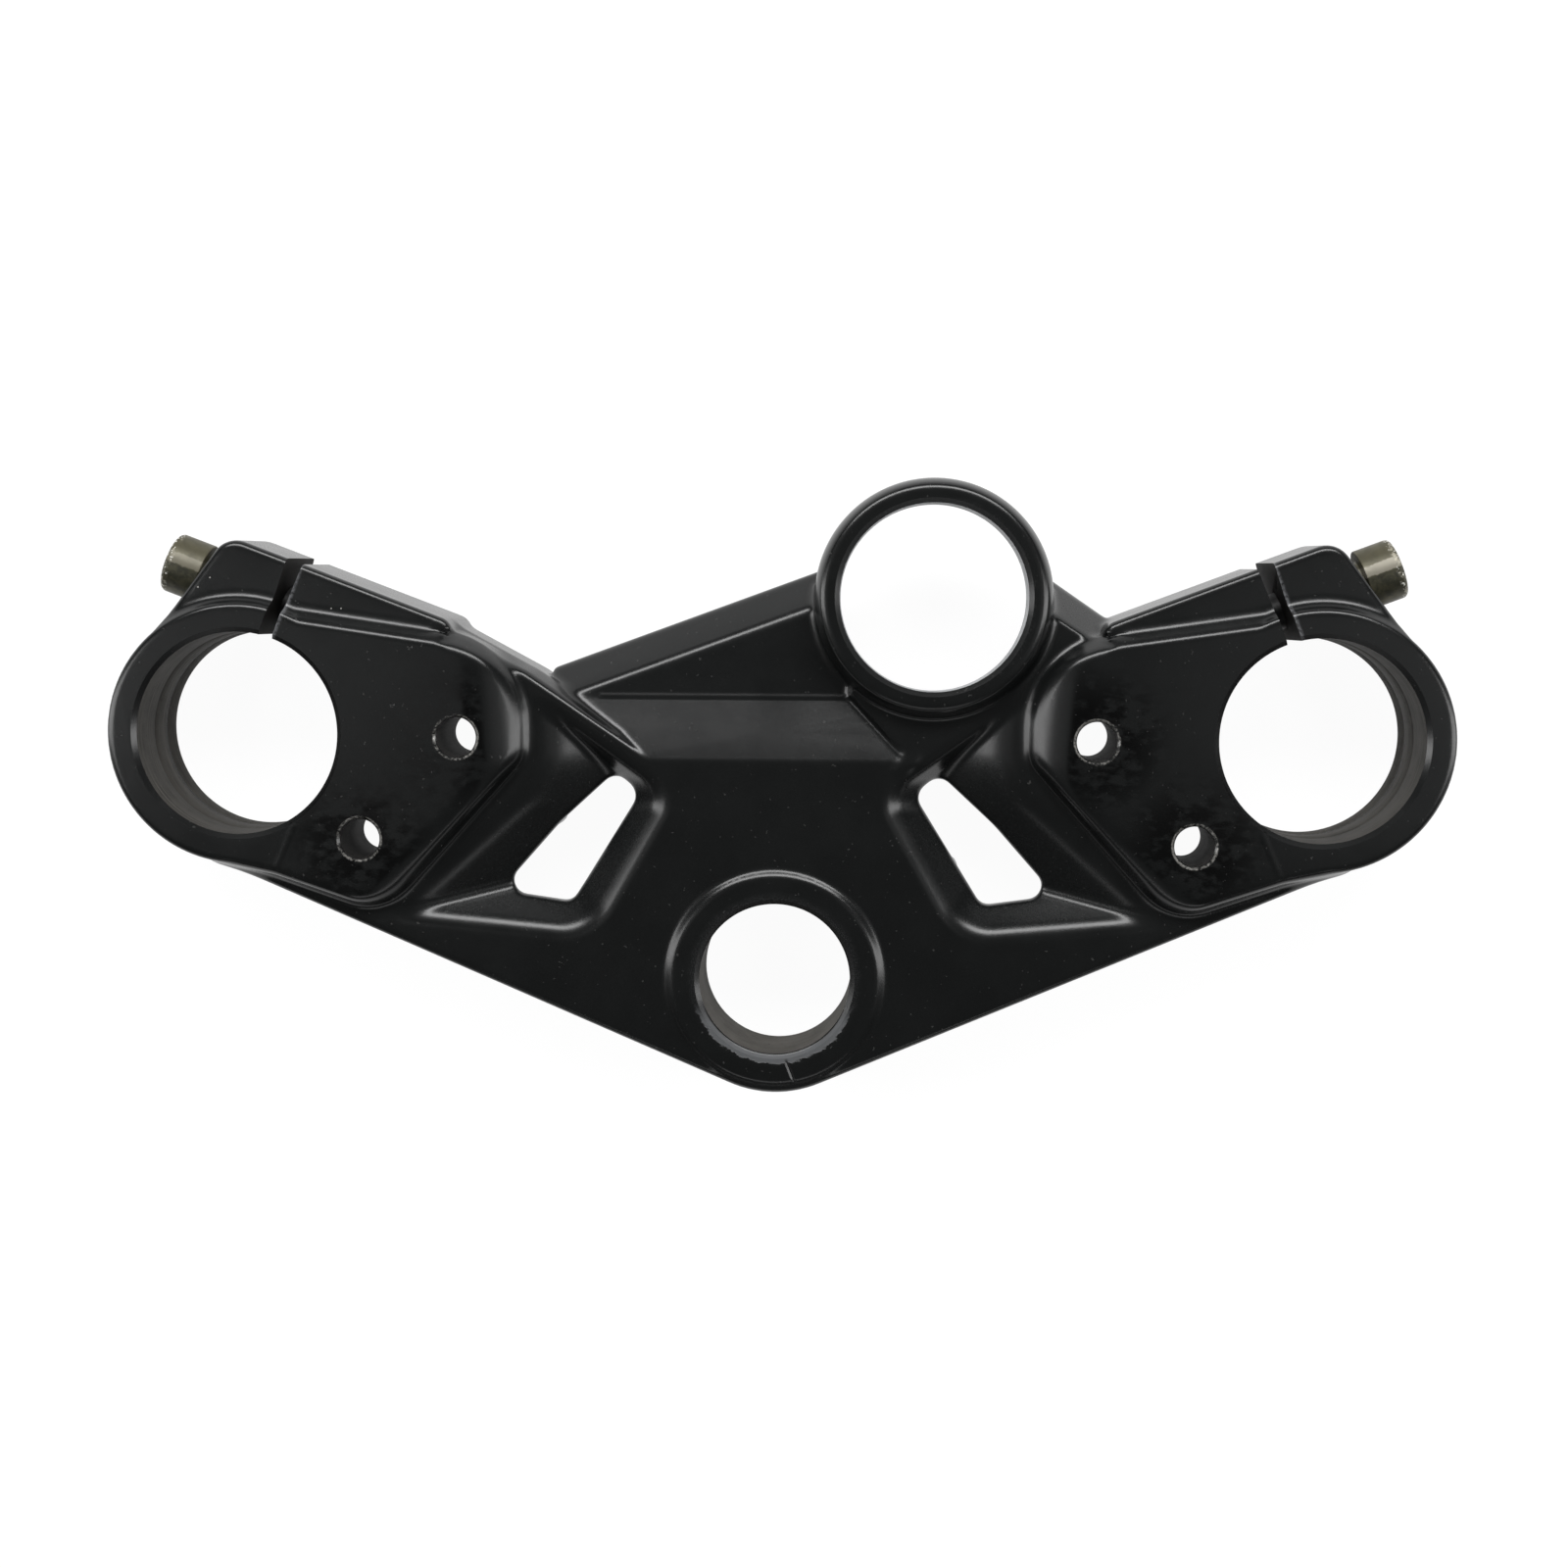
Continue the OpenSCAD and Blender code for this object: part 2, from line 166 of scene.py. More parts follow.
def rounded(corners, steps=10):
    """Outline with an arc of its own radius in each corner's place, turned about the arc's middle."""
    c = np.array(corners, float)
    before, after, left, _ = edge_ways(c[:, :2])
    turn = np.arctan2(cross(before, after), (before * after).sum(1))
    start = c[:, :2] - before * (c[:, 2] * np.tan(np.abs(turn) / 2))[:, None]
    middle = start + (np.sign(turn) * c[:, 2])[:, None] * left
    a = turn[:, None] * np.linspace(0, 1, steps + 1)
    v = (start - middle)[:, None]
    x = v[..., 0] * np.cos(a) - v[..., 1] * np.sin(a)
    y = v[..., 0] * np.sin(a) + v[..., 1] * np.cos(a)
    return (middle[:, None] + np.stack([x, y], axis=2)).reshape(-1, 2)


def grown(corners, amounts):
    """Every edge moved outwards by its own amount; a corner goes where its two moved edges meet."""
    c = np.array(corners, float)
    t = np.broadcast_to(np.array(amounts, float), len(c))
    before, after, n1, n2 = edge_ways(c[:, :2])
    t1, t2 = -np.roll(t, 1), -t
    det = cross(n1, n2)
    flat = np.abs(det) < 1e-6
    det = np.where(flat, 1, det)
    x = np.where(flat, n1[:, 0] * t1, (t1 * n2[:, 1] - t2 * n1[:, 1]) / det)
    y = np.where(flat, n1[:, 1] * t1, (t2 * n1[:, 0] - t1 * n2[:, 0]) / det)
    turn = np.sign(cross(before, after))
    radius = np.maximum(0.3, c[:, 2] + turn * (t + np.roll(t, 1)) / 2)
    return np.column_stack([c[:, 0] + x, c[:, 1] + y, radius])


def outline_distance(corners, x, y):
    """Signed distance of grid points to a rounded outline: that of its nearest edge, negative inside."""
    p = rounded(corners)
    q = np.roll(p, -1, axis=0)
    x, y = np.broadcast_arrays(x, y)
    best = np.full(x.shape, 1e9, np.float32)
    inside = np.zeros(x.shape, bool)
    for (ax, ay), (bx, by) in zip(p, q):
        ex, ey = bx - ax, by - ay
        if ex * ex + ey * ey < 1e-8:
            continue
        t = np.clip(((x - ax) * ex + (y - ay) * ey) / (ex * ex + ey * ey), 0, 1)
        best = np.minimum(best, (x - ax - ex * t) ** 2 + (y - ay - ey * t) ** 2)
        if ey:
            inside ^= ((ay <= y) != (by <= y)) & (x < ax + (y - ay) * ex / ey)
    return (np.where(inside, -1, 1) * np.sqrt(best)).astype(np.float32)


# ---- Distance fields ----


def both(a, b, r):
    """Overlap of two solids whose common edge is rounded by r."""
    return np.minimum(-r, np.maximum(a, b)) + np.hypot(np.maximum(r + a, 0), np.maximum(r + b, 0))


def either(a, b, r):
    """Union of two solids with a fillet of radius r in the corner between them."""
    return np.maximum(r, np.minimum(a, b)) - np.hypot(np.maximum(r - a, 0), np.maximum(r - b, 0))


def glide(low, high, z, z_low, z_high):
    """Side that glides from one outline's distance to another's between two heights, scaled to true distance."""
    gap = high - low
    t = np.clip((z - z_low) / (z_high - z_low), 0, 1)
    slope = np.hypot(1, gap / (z_high - z_low))
    return (low[:, :, None] + gap[:, :, None] * t) / slope[:, :, None]


def prism(low, high, z, z_low, z_high, r=1.0):
    """Solid between two heights whose side glides between two outlines, with a rounded upper edge."""
    side = glide(low, high, z, z_low, z_high)
    return np.maximum(both(side, z - z_high, r), z_low - z)


def surface_nets(field, origin, cell):
    """Skin of a distance field: one point in each cell that it passes through, at the mean of where it crosses
    that cell's edges, and one face for each grid edge that it crosses."""
    inside = field < 0
    nx, ny, nz = np.array(field.shape) - 1
    total = np.zeros((nx, ny, nz), np.int8)
    for i, j, k in np.ndindex(2, 2, 2):
        total += inside[i : i + nx, j : j + ny, k : k + nz]
    cells = np.argwhere((total > 0) & (total < 8))
    number = np.full((nx, ny, nz), -1, np.int32)
    number[tuple(cells.T)] = np.arange(len(cells))
    corners = list(np.ndindex(2, 2, 2))
    values = [field[cells[:, 0] + i, cells[:, 1] + j, cells[:, 2] + k] for i, j, k in corners]
    place = np.zeros((len(cells), 3))
    count = np.zeros(len(cells))
    for a, ca in enumerate(corners):
        for b, cb in enumerate(corners):
            if b > a and sum(abs(m - n) for m, n in zip(ca, cb)) == 1:
                crossed = (values[a] < 0) != (values[b] < 0)
                t = np.where(crossed, values[a] / np.where(crossed, values[a] - values[b], 1), 0)
                step = np.array(cb) - np.array(ca)
                place += crossed[:, None] * (np.array(ca) + t[:, None] * step)
                count += crossed
    points = origin + (cells + place / count[:, None]) * cell
    faces = []
    for axis in range(3):
        u, v = [(1, 2), (2, 0), (0, 1)][axis]
        low = np.take(inside, range(field.shape[axis] - 1), axis)
        high = np.take(inside, range(1, field.shape[axis]), axis)
        edges = np.argwhere(low != high)
        a, b, last = edges[:, u], edges[:, v], (nx, ny, nz)
        edges = edges[(a > 0) & (b > 0) & (a < last[u]) & (b < last[v])]
        quad = []
        for du, dv in ((1, 1), (0, 1), (0, 0), (1, 0)):
            c = edges.copy()
            c[:, u] -= du
            c[:, v] -= dv
            quad.append(number[tuple(c.T)])
        quad = np.stack(quad, axis=1)
        outwards = inside[tuple(edges.T)]
        faces.append(np.where(outwards[:, None], quad, quad[:, ::-1]))
    return points, np.concatenate(faces)


def softened(field, passes):
    """Distance field averaged with its neighbours along each axis, which rounds every edge a little."""
    for _ in range(passes):
        for axis in range(3):
            f = np.moveaxis(field, axis, 0)
            mid = f[1:-1] * 0.5 + (f[:-2] + f[2:]) * 0.25
            f[1:-1] = mid
    return field


# ---- Casting ----

# Corners are [x, y, radius], anticlockwise, for the right half; pads are seen from their fork axis
PAD = [[-59.9, 16.8, 18], [-59.6, -4.2, 5], [-30.4, -37.2, 11], [-7.5, -29.5, 12]]
PAD += [[8, -26.2, 5], [9, 0, 4], [-6, 24.6, 4]]
PAD_SLOPES = [1.6] * 6 + [3.0]
POCKET = [[23.6, 39.8, 5], [40.8, 9.3, 5], [81, 12.9, 1.5], [48.6, 42.2, 9], [50, 58.8, 1.5]]
WINDOW = [[29.4, 39.4, 3.3], [44.2, 15.4, 3.0], [60, 17.6, 3.0], [46.6, 32.9, 30], [34.9, 43.7, 3.3]]
SLOPES = [
    # two corners of a slope's upper edge and one of its foot
    ([40.5, 9.8], [81, 13.5], [44.2, 15.4]),
    ([22.9, 39.5], [40.1, 9.0], [29.4, 39.4]),
    ([50, 58.8], [23.6, 39.8], [34.9, 43.7]),
    ([81, 12.9], [48.6, 42.2], [46.6, 32.9]),
]
CORNER_SLOPE = ([48.6, 42.2], [50, 58.8], [34.9, 43.7])
HOLE_ROW = math.radians(46.5)
HOLES = [[-46.9, -0.5], [-46.9 + 30 * math.cos(HOLE_ROW), -0.5 - 30 * math.sin(HOLE_ROW)]]
BODY_R = 24.7
CROWN_R = 23.05
CROWN_RISE = 1.0
ARM_FOOT = [[69.75, 75.5, 4], [51.3, 65.6, 1], [45.6, 61.9, 6], [25.8, 46.5, 5]]
ARM_EDGE = [[76, 75, 2], [53.6, 65.3, 8], [25.6, 46.5, 3]]
LEDGE_END = 33.5
EAR_REACH = 38.4
PITS = [[-77.1, 70.4, 0.55], [-80.9, 58.2, 0.5], [61.0, 33.5, 0.4]]
SPECKS = [[-94.3, 78.4, 0.22], [-92.2, 78.4, 0.22], [-122.8, 82.8, 0.26], [-120.2, 84.8, 0.22]]
SPECKS += [[-70.9, 28.0, 0.3]]
EAR_SIDE = 17.0
SEAT_REACH = 21.2
SCREW_REACH = 28.0
SCREW_Z = 11.5
SEAT_R, CLEAR_R, TAP_R = 7.3, 4.5, 4.05
TAP_START, TAP_END = 20.8, 36.0
COLLAR_R, COLLAR_TOP_R = 25.2, 23.6
BOSS_R = 9.5
PLATE_FRONT = 46.5
RAMP = 13.7
BEVEL = 7.0
WEB_RIDGE = [[56, 74], [71.2, 69.4], [59.2, 77.2]]
FRONT_LINE = [[-48.9, 65.8], [6.2, 86.1]]
LOW_WEB = [[34, LOCK_Y, 0.5], [11.8, 88.2, 0.5], [-48.9, 65.8, 0.5], [-47.6, 55.9, 0.5]]
HIGH_WEB = [[24.5, PLATE_FRONT - 2, 0.3], [60, PLATE_FRONT + 5, 0.3], WEB_RIDGE[1] + [1], WEB_RIDGE[2] + [0.5]]
HIGH_WEB += [[LOCK_X + 10, LOCK_Y, 0.3], [LOCK_X - 10, LOCK_Y, 0.3], [15.6, 61, 0.5], [27.4, PLATE_FRONT + 1.4, 1.5]]
SIDE_WEB = [WEB_RIDGE[0] + [0.5], [66, 68, 0.5], [76, 70, 0.5], [76, 76.7, 0.5], [72, 76.1, 4], [57.5, 86.1, 0.5]]


def arm_outline(middle, front):
    """The plate's right arm: tangent to the stem boss and the clamp behind, with the given corners in front."""
    s = sizes()
    clamp_r = s.fork_r + s.clamp_wall
    a = math.atan2(FORK_Y, FORK_X) - math.asin((clamp_r - BODY_R) / math.hypot(FORK_X, FORK_Y))
    out = [math.sin(a), -math.cos(a)]
    return [
        [middle, -BODY_R + 2, 0.3],
        [BODY_R * out[0], BODY_R * out[1], 0.3],
        [FORK_X + clamp_r * out[0], FORK_Y + clamp_r * out[1], 0.3],
        [FORK_X, FORK_Y, 0.3],
        at_clamp(8, clamp_r - 1.8) + [2],
        *front,
        [middle, PLATE_FRONT, 0.3],
    ]


def ear_outline():
    """A pinch ear and its ledge, from above."""
    clamp_r = sizes().fork_r + sizes().clamp_wall
    return [
        at_clamp(1.3 - clamp_r, 6) + [2],
        at_clamp(8, 6) + [2],
        at_clamp(LEDGE_END - 1.6, EAR_REACH - 3.3) + [0.5],
        at_clamp(LEDGE_END + 1.8, EAR_REACH - 1.6) + [0.6],
        at_clamp(LEDGE_END - 0.5, EAR_REACH) + [3],
        at_clamp(-EAR_SIDE, EAR_REACH) + [5.5],
    ]


def placed(corners, x, y):
    return [[c[0] + x, c[1] + y, c[2]] for c in corners]


def ramp_strip(width):
    """Strip along a pad's front edge, as wide as the slope down to the ledge."""
    a, b = np.array(PAD[6][:2]), np.array(PAD[0][:2])
    way = (a - b) / np.linalg.norm(a - b)
    out = np.array([-way[1], way[0]])
    end = a + (b - a) * 0.72
    points = [end - 4 * out, a - 4 * out, a + width * out, end + width * out]
    return placed([[p[0], p[1], 0.2] for p in points], FORK_X, FORK_Y)


def wide_parts(x, y, z):
    """Plate, pads, clamps and ears, worked out for the right half and mirrored by |x|."""
    s = sizes()
    ax = np.abs(x)
    clamp_r = s.fork_r + s.clamp_wall
    arm = outline_distance(arm_outline(-6, ARM_FOOT), ax, y)
    arm_top = outline_distance(arm_outline(-6, ARM_EDGE), ax, y)
    plate = both(glide(arm, arm_top, z, s.plate_top - 6, s.plate_top), z - s.plate_top, 1.3)
    plate = np.maximum(plate, s.skirt - z)
    pad = placed(PAD, FORK_X, FORK_Y)
    pad_d = outline_distance(pad, ax, y)
    foot_d = outline_distance(grown(pad, PAD_SLOPES), ax, y)
    pads = prism(foot_d, pad_d, z, s.plate_top, s.clamp_top, 1.1)
    pads = np.maximum(np.minimum(pads, np.maximum(foot_d[:, :, None], z - s.plate_top)), s.plate_top - 4 - z)
    ring = np.hypot(ax - FORK_X, y - FORK_Y)
    clamps = prism(ring - clamp_r - 0.3, ring - clamp_r, z, s.clamp_foot, s.clamp_top, 1.2)
    clamps = np.maximum(clamps, s.clamp_foot - z)
    ear = outline_distance(ear_outline(), ax, y)
    ears = prism(ear - 0.5, ear, z, -1.0, s.ear_top, 1.3)
    cone = prism(ring - clamp_r - 1.6, ring - clamp_r + 1.2, z, s.ear_top, s.clamp_top, 0.6)
    cone = np.maximum(np.maximum(cone, ear[:, :, None]), s.ear_top - 2 - z)
    low, high = (outline_distance(ramp_strip(width), ax, y) for width in (3.0, 0.0))
    strip = prism(low, high, z, s.ear_top, s.clamp_top, 0.2)
    raised = np.minimum(np.minimum(pads, clamps), np.minimum(cone, strip))
    return plate, either(raised, ears, 0.8)


def hollow_parts(x, y, z):
    """Hollow underside of the arms: a void between the walls, less the ribs, bosses and pocket shells."""
    s = sizes()
    ax = np.abs(x)
    arm = outline_distance(grown(arm_outline(-3, ARM_FOOT), -s.wall), ax, y)
    void = both(arm[:, :, None], z - (s.plate_top - s.skin), 2.0)
    solid = np.maximum(np.abs(ax - FORK_X) - 2, y - FORK_Y)
    solid = np.minimum(solid, np.hypot(x, y) - BODY_R)
    solid = np.minimum(solid, np.hypot(ax - FORK_X, y - FORK_Y) - s.fork_r - s.clamp_wall)
    across = -HOLE_ROW - math.pi / 2
    for hx, hy in HOLES:
        cx, cy = FORK_X + hx, FORK_Y + hy
        solid = np.minimum(solid, np.hypot(ax - cx, y - cy) - BOSS_R)
        solid = np.minimum(solid, np.abs(-(ax - cx) * math.sin(across) + (y - cy) * math.cos(across)) - 2)
    shell = outline_distance(grown(POCKET, 4), ax, y)[:, :, None]
    shell = both(shell, 11.2 - z, 1.5)
    keep = np.minimum(solid[:, :, None], shell)
    return both(void, -keep, 1.5)


def web_parts(x, y, z):
    """Web that carries the lock collar: ramp, recess and sloping front edge, and full height at the right."""
    s = sizes()
    low = outline_distance(LOW_WEB + [[-44, 44, 0.3], [0, 36, 0.3], [30, PLATE_FRONT - 4, 0.3]], x, y)
    fall = (s.plate_top - s.recess) / RAMP
    ramp = s.plate_top - np.clip((y - PLATE_FRONT) * fall, 0, s.plate_top - s.recess)
    way = np.array(FRONT_LINE[1]) - np.array(FRONT_LINE[0])
    way = way / np.linalg.norm(way)
    past = (y - FRONT_LINE[0][1]) * way[0] - (x - FRONT_LINE[0][0]) * way[1]
    bevel = s.recess - (past + BEVEL)
    tops = both((z - ramp[:, :, None]), (z - bevel[:, :, None]) * 0.7071, 0.7)
    web = np.maximum(both(low[:, :, None], tops, 0.6), s.skirt + 3 - z)
    hollow = outline_distance(grown(LOW_WEB + [[-44, 28, 0.3], [30, 28, 0.3]], -s.wall), x, y)
    web = both(web, -both(hollow[:, :, None], z - 13, 2), 0.5)
    high = outline_distance(HIGH_WEB, x, y)
    high = prism(high - 0.9, high, z, 13.0, s.plate_top, 0.7)
    side = outline_distance(SIDE_WEB, x, y)
    ridge = np.array(WEB_RIDGE[1]) - np.array(WEB_RIDGE[2])
    ridge = ridge / np.linalg.norm(ridge)
    past = -(x - WEB_RIDGE[2][0]) * ridge[1] + (y - WEB_RIDGE[2][1]) * ridge[0]
    lean = s.plate_top - 1.7 * past
    side = both(side[:, :, None], both(z - s.plate_top, (z - lean[:, :, None]) * 0.57, 0.7), 0.6)
    side = np.maximum(side, s.skirt + 3 - z)
    return either(web, np.minimum(high, side), 1.0)


def turned_parts(x, y, z):
    """Stem boss, the low step on its top, and the lock collar, whose side leans inwards towards the top."""
    s = sizes()
    stem = np.hypot(x, y)
    boss = prism(stem - BODY_R, stem - BODY_R, z, 0.0, s.plate_top, 1.3)
    crown = both((stem - CROWN_R)[:, :, None], z - s.plate_top - CROWN_RISE, 1.4)
    crown = np.maximum(crown, s.plate_top - 4 - z)
    lock = np.hypot(x - LOCK_X, y - LOCK_Y)
    lean = ((lock - COLLAR_TOP_R)[:, :, None] - 0.5 * (s.clamp_top - z)) * 0.89
    collar = both((lock - COLLAR_R)[:, :, None], lean, 1.0)
    collar = np.maximum(both(collar, z - s.clamp_top, 0.8), 14 - z)
    return boss, crown, collar


def slope_field(slope, x, y, z):
    """Distance to the plane through a slope's edge at the plate's top and its foot at the pocket's depth."""
    s = sizes()
    a, b, foot = (np.array(v, float) for v in slope)
    way = (b - a) / np.linalg.norm(b - a)
    out = np.array([way[1], -way[0]])
    reach = (a - foot) @ out
    past = (x - a[0]) * out[0] + (y - a[1]) * out[1]
    lean = np.hypot(reach, s.pocket)
    return past[:, :, None] * (s.pocket / lean) - (z - s.plate_top) * (reach / lean)


def pocket_void(x, y, z):
    """Pocket between planes that lean in from its rim, each pair meeting in a rounded valley, and the window's
    straight cut below."""
    s = sizes()
    ax = np.abs(x)
    slopes = [slope_field(slope, ax, y, z) for slope in SLOPES]
    valley = slopes[3]
    valley = either(valley, slope_field(CORNER_SLOPE, ax, y, z), 3.0)
    valley = both(valley, both(both(slopes[0], slopes[1], 4.0), slopes[2], 4.0), 1.7)
    edge = outline_distance(WINDOW, ax, y)[:, :, None]
    return either(valley, np.maximum(edge, z - s.plate_top + 0.8), 0.15)


def casting_field(cell):
    """Distance field of the whole casting on a grid, with its origin."""
    s = sizes()
    low = np.array([-144.0, -29.0, -6.0])
    high = np.array([144.0, 109.0, 29.0])
    count = np.ceil((high - low) / cell).astype(int) + 1
    x, y, z = [(low[i] + np.arange(count[i]) * cell).astype(np.float32) for i in range(3)]
    x, y = x[:, None], y[None, :]
    z = z[None, None, :]
    plate, raised = wide_parts(x, y, z)
    web = web_parts(x, y, z)
    below = either(plate, np.maximum(web, z - (s.plate_top - 1.6)), 1.2)
    field = either(np.minimum(np.minimum(plate, web), below), raised, 1.2)
    field = np.maximum(field, -hollow_parts(x, y, z))
    boss, crown, collar = turned_parts(x, y, z)
    field = either(np.minimum(field, boss), crown, 0.7)
    field = either(field, collar, 1.5)
    field = both(field, -pocket_void(x, y, z), 1.7)
    return softened(field.astype(np.float32), 1), low


def linked(name, data):
    """Object that carries the data, in the scene."""
    holder = bpy.data.objects.new(name, data)
    bpy.context.scene.collection.objects.link(holder)
    return holder


def new_mesh(name, points, faces):
    """Mesh object from arrays of points, in millimetres, and of faces with as many corners each."""
    mesh = bpy.data.meshes.new(name)
    faces = np.ascontiguousarray(faces, np.int32)
    side = faces.shape[1]
    mesh.vertices.add(len(points))
    mesh.vertices.foreach_set("co", (np.asarray(points) * MM).astype(np.float32).ravel())
    mesh.loops.add(faces.size)
    mesh.loops.foreach_set("vertex_index", faces.ravel())
    mesh.polygons.add(len(faces))
    mesh.polygons.foreach_set("loop_start", np.arange(len(faces), dtype=np.int32) * side)
    mesh.update(calc_edges=True)
    return linked(name, mesh)


def finished(piece):
    """Applies a piece's modifiers to its mesh."""
    seen = piece.evaluated_get(bpy.context.evaluated_depsgraph_get())
    mesh = bpy.data.meshes.new_from_object(seen)
    piece.modifiers.clear()
    old, piece.data = piece.data, mesh
    bpy.data.meshes.remove(old)


def turned(profile, steps=128):
    """Closed turned solid: a profile of radii and heights carried once round Z, with a disc at each end."""
    p = np.array(profile, float)
    j = np.arange(steps)
    a = j * 2 * np.pi / steps
    height = np.broadcast_to(p[:, 1:], (len(p), steps))
    rings = np.stack([p[:, :1] * np.cos(a), p[:, :1] * np.sin(a), height], axis=2)
    points = rings.reshape(-1, 3)
    k = (j + 1) % steps
    low = np.arange(len(p) - 1)[:, None] * steps
    top = low + steps
    quads = np.stack([low + j, low + k, top + k, top + j], axis=2).reshape(-1, 4)
    ends = np.array([[0, 0, p[0, 1]], [0, 0, p[-1, 1]]])
    n = len(points)
    foot = np.stack([np.full(steps, n), k, j], axis=1)
    head = np.stack([np.full(steps, n + 1), n - steps + j, n - steps + k], axis=1)
    tris = np.concatenate([quads[:, [0, 1, 2]], quads[:, [0, 2, 3]], foot, head])
    return np.concatenate([points, ends]), tris


def bend(x, z, r, start, end, steps=8):
    """Arc of a profile about (x, z), by angles in degrees from the outward direction."""
    a = np.radians(np.linspace(start, end, steps + 1))
    return np.column_stack([x + r * np.cos(a), z + r * np.sin(a)]).tolist()


def joined(parts):
    """One list of points and one of triangles from several."""
    points, tris, start = [], [], 0
    for p, t in parts:
        points.append(p)
        tris.append(t + start)
        start += len(p)
    return np.concatenate(points), np.concatenate(tris)


def flipped(part):
    """A part mirrored in X, with its triangles turned round so that they keep their outer side."""
    return part[0] * [-1, 1, 1], part[1][:, ::-1]


def at_screw(part, mirrored):
    """A turned part along Z, head up, taken to the place of the right pinch screw or the left.

    Known fault: the triangles are turned round once too often, so that faces point inwards.
    """
    a = math.radians(sizes().screw_angle)
    seat = at_clamp(-SEAT_REACH, SCREW_REACH)
    out = np.array([math.cos(a), math.sin(a), 0])
    side = np.array([-math.sin(a), math.cos(a), 0])
    up = np.array([0, 0, 1.0])
    points, tris = part
    p = np.array([seat[0], seat[1], SCREW_Z]) + points[:, :1] * side + points[:, 1:2] * up + points[:, 2:] * out
    part = p, tris[:, ::-1]
    return flipped(part) if mirrored else part


def shifted(part, x, y):
    return part[0] + [x, y, 0], part[1]


def slot_cutter():
    """Slot of a clamp: a straight-sided prism from the bore out, whose mouth opens in a shallow V."""
    s = sizes()
    half = s.slot_w / 2
    side = [[half, 12], [half, 31], [half + 0.35, 39.2], [half + 3, 42]]
    line = side + [[-a, o] for a, o in side[::-1]]
    line = line[-1:] + line[:-1]
    p = np.array([at_clamp(-s.slot_shift + a, o) for a, o in line])[::-1]
    n = len(p)
    points = np.concatenate([np.column_stack([p, np.full(n, z)]) for z in (-20.0, 40.0)])
    area = (p[:, 0] * np.roll(p[:, 1], -1) - np.roll(p[:, 0], -1) * p[:, 1]).sum()
    i = np.arange(n)
    j = (i + 1) % n
    sides = np.concatenate([np.stack([i, j, j + n], axis=1), np.stack([i, j + n, i + n], axis=1)])
    fan = np.stack([np.zeros(n - 2, int), np.arange(1, n - 1), np.arange(2, n)], axis=1)
    tris = np.concatenate([sides, fan[:, ::-1], fan + n])
    return points, tris if area > 0 else tris[:, ::-1]


def bore_profile(r, low, high, chamfer, grooves=()):
    """Bore from low to high with a chamfered top; each groove is a height and a depth."""
    p = [[r, low - 6]]
    for z, depth in grooves:
        p += [[r, z - 0.35], [r + depth, z], [r, z + 0.35]]
    return p + [[r, high - chamfer], [r + chamfer, high], [r + chamfer + 2, high + 2]]


def fetched(items, key, width, kind=np.float32):
    """One value of every item of a mesh, as rows of that width."""
    values = np.empty(len(items) * width, kind)
    items.foreach_get(key, values)
    return values.reshape(-1, width)


def bore_numbers(mesh):
    """Material number of each face: the steep faces within each bore's radius take that bore's finish."""
    s = sizes()
    x, y = (fetched(mesh.polygons, "center", 3) / MM).T[:2]
    steep = np.abs(fetched(mesh.polygons, "normal", 3)[:, 2]) < 0.5
    number = np.zeros(len(x), np.int32)
    number[steep & (np.hypot(np.abs(x) - FORK_X, y - FORK_Y) < s.fork_r + 0.4)] = 1
    for hx, hy in HOLES:
        number[steep & (np.hypot(np.abs(x) - FORK_X - hx, y - FORK_Y - hy) < s.hole_r + 0.2)] = 2
    along, out = clamp_ways(np.abs(x) - FORK_X, y - FORK_Y)
    number[steep & (np.abs(along + s.slot_shift) < s.slot_w / 2 + 0.3) & (out > 20)] = 2
    number[steep & (np.hypot(x - LOCK_X, y - LOCK_Y) < s.lock_r + 0.3)] = 3
    number[steep & (np.hypot(x, y) < s.stem_r + 0.3)] = 4
    return number


def sampled(field, origin, cell, points):
    """Field's value at any points, weighted linearly between the eight grid points round each."""
    p = np.clip((points - origin) / cell, 0, np.array(field.shape) - 1.001)
    i = p.astype(int)
    f = p - i
    total = 0.0
    for a, b, c in np.ndindex(2, 2, 2):
        weight = np.abs(1 - a - f[:, 0]) * np.abs(1 - b - f[:, 1]) * np.abs(1 - c - f[:, 2])
        total = total + weight * field[i[:, 0] + a, i[:, 1] + b, i[:, 2] + c]
    return total


def smooth_skin(mesh, field, origin, cell):
    """Shades the skin by the field's slope at each corner. Cut faces, which look another way, stay as they are."""
    points = fetched(mesh.vertices, "co", 3) / MM
    steps = np.eye(3) * cell
    at = functools.partial(sampled, field, origin, cell)
    slope = np.stack([at(points + e) - at(points - e) for e in steps], axis=1)
    slope /= np.maximum(np.linalg.norm(slope, axis=1), 1e-6)[:, None]
    near = np.abs(at(points)) < 0.35
    vertex = fetched(mesh.loops, "vertex_index", 1, np.int32)[:, 0]
    own = fetched(mesh.corner_normals, "vector", 3)
    total = fetched(mesh.polygons, "loop_total", 1, np.int32)[:, 0]
    face = np.repeat(fetched(mesh.polygons, "normal", 3), total, axis=0)
    seen = slope[vertex]
    agree = near[vertex] & ((seen * face).sum(1) > 0.75)
    mesh.normals_split_custom_set(np.where(agree[:, None], seen, own).tolist())


def cut_from(piece, parts):
    """Takes named closed parts away from a piece, one after the other, and applies all its modifiers."""
    cutters = []
    for name, part in parts.items():
        cutters.append(new_mesh("cut_" + name, *part))
        cut = piece.modifiers.new(name, "BOOLEAN")
        cut.operation = "DIFFERENCE"
        cut.solver = "MANIFOLD"
        cut.object = cutters[-1]
    finished(piece)
    for cutter in cutters:
        bpy.data.objects.remove(cutter)


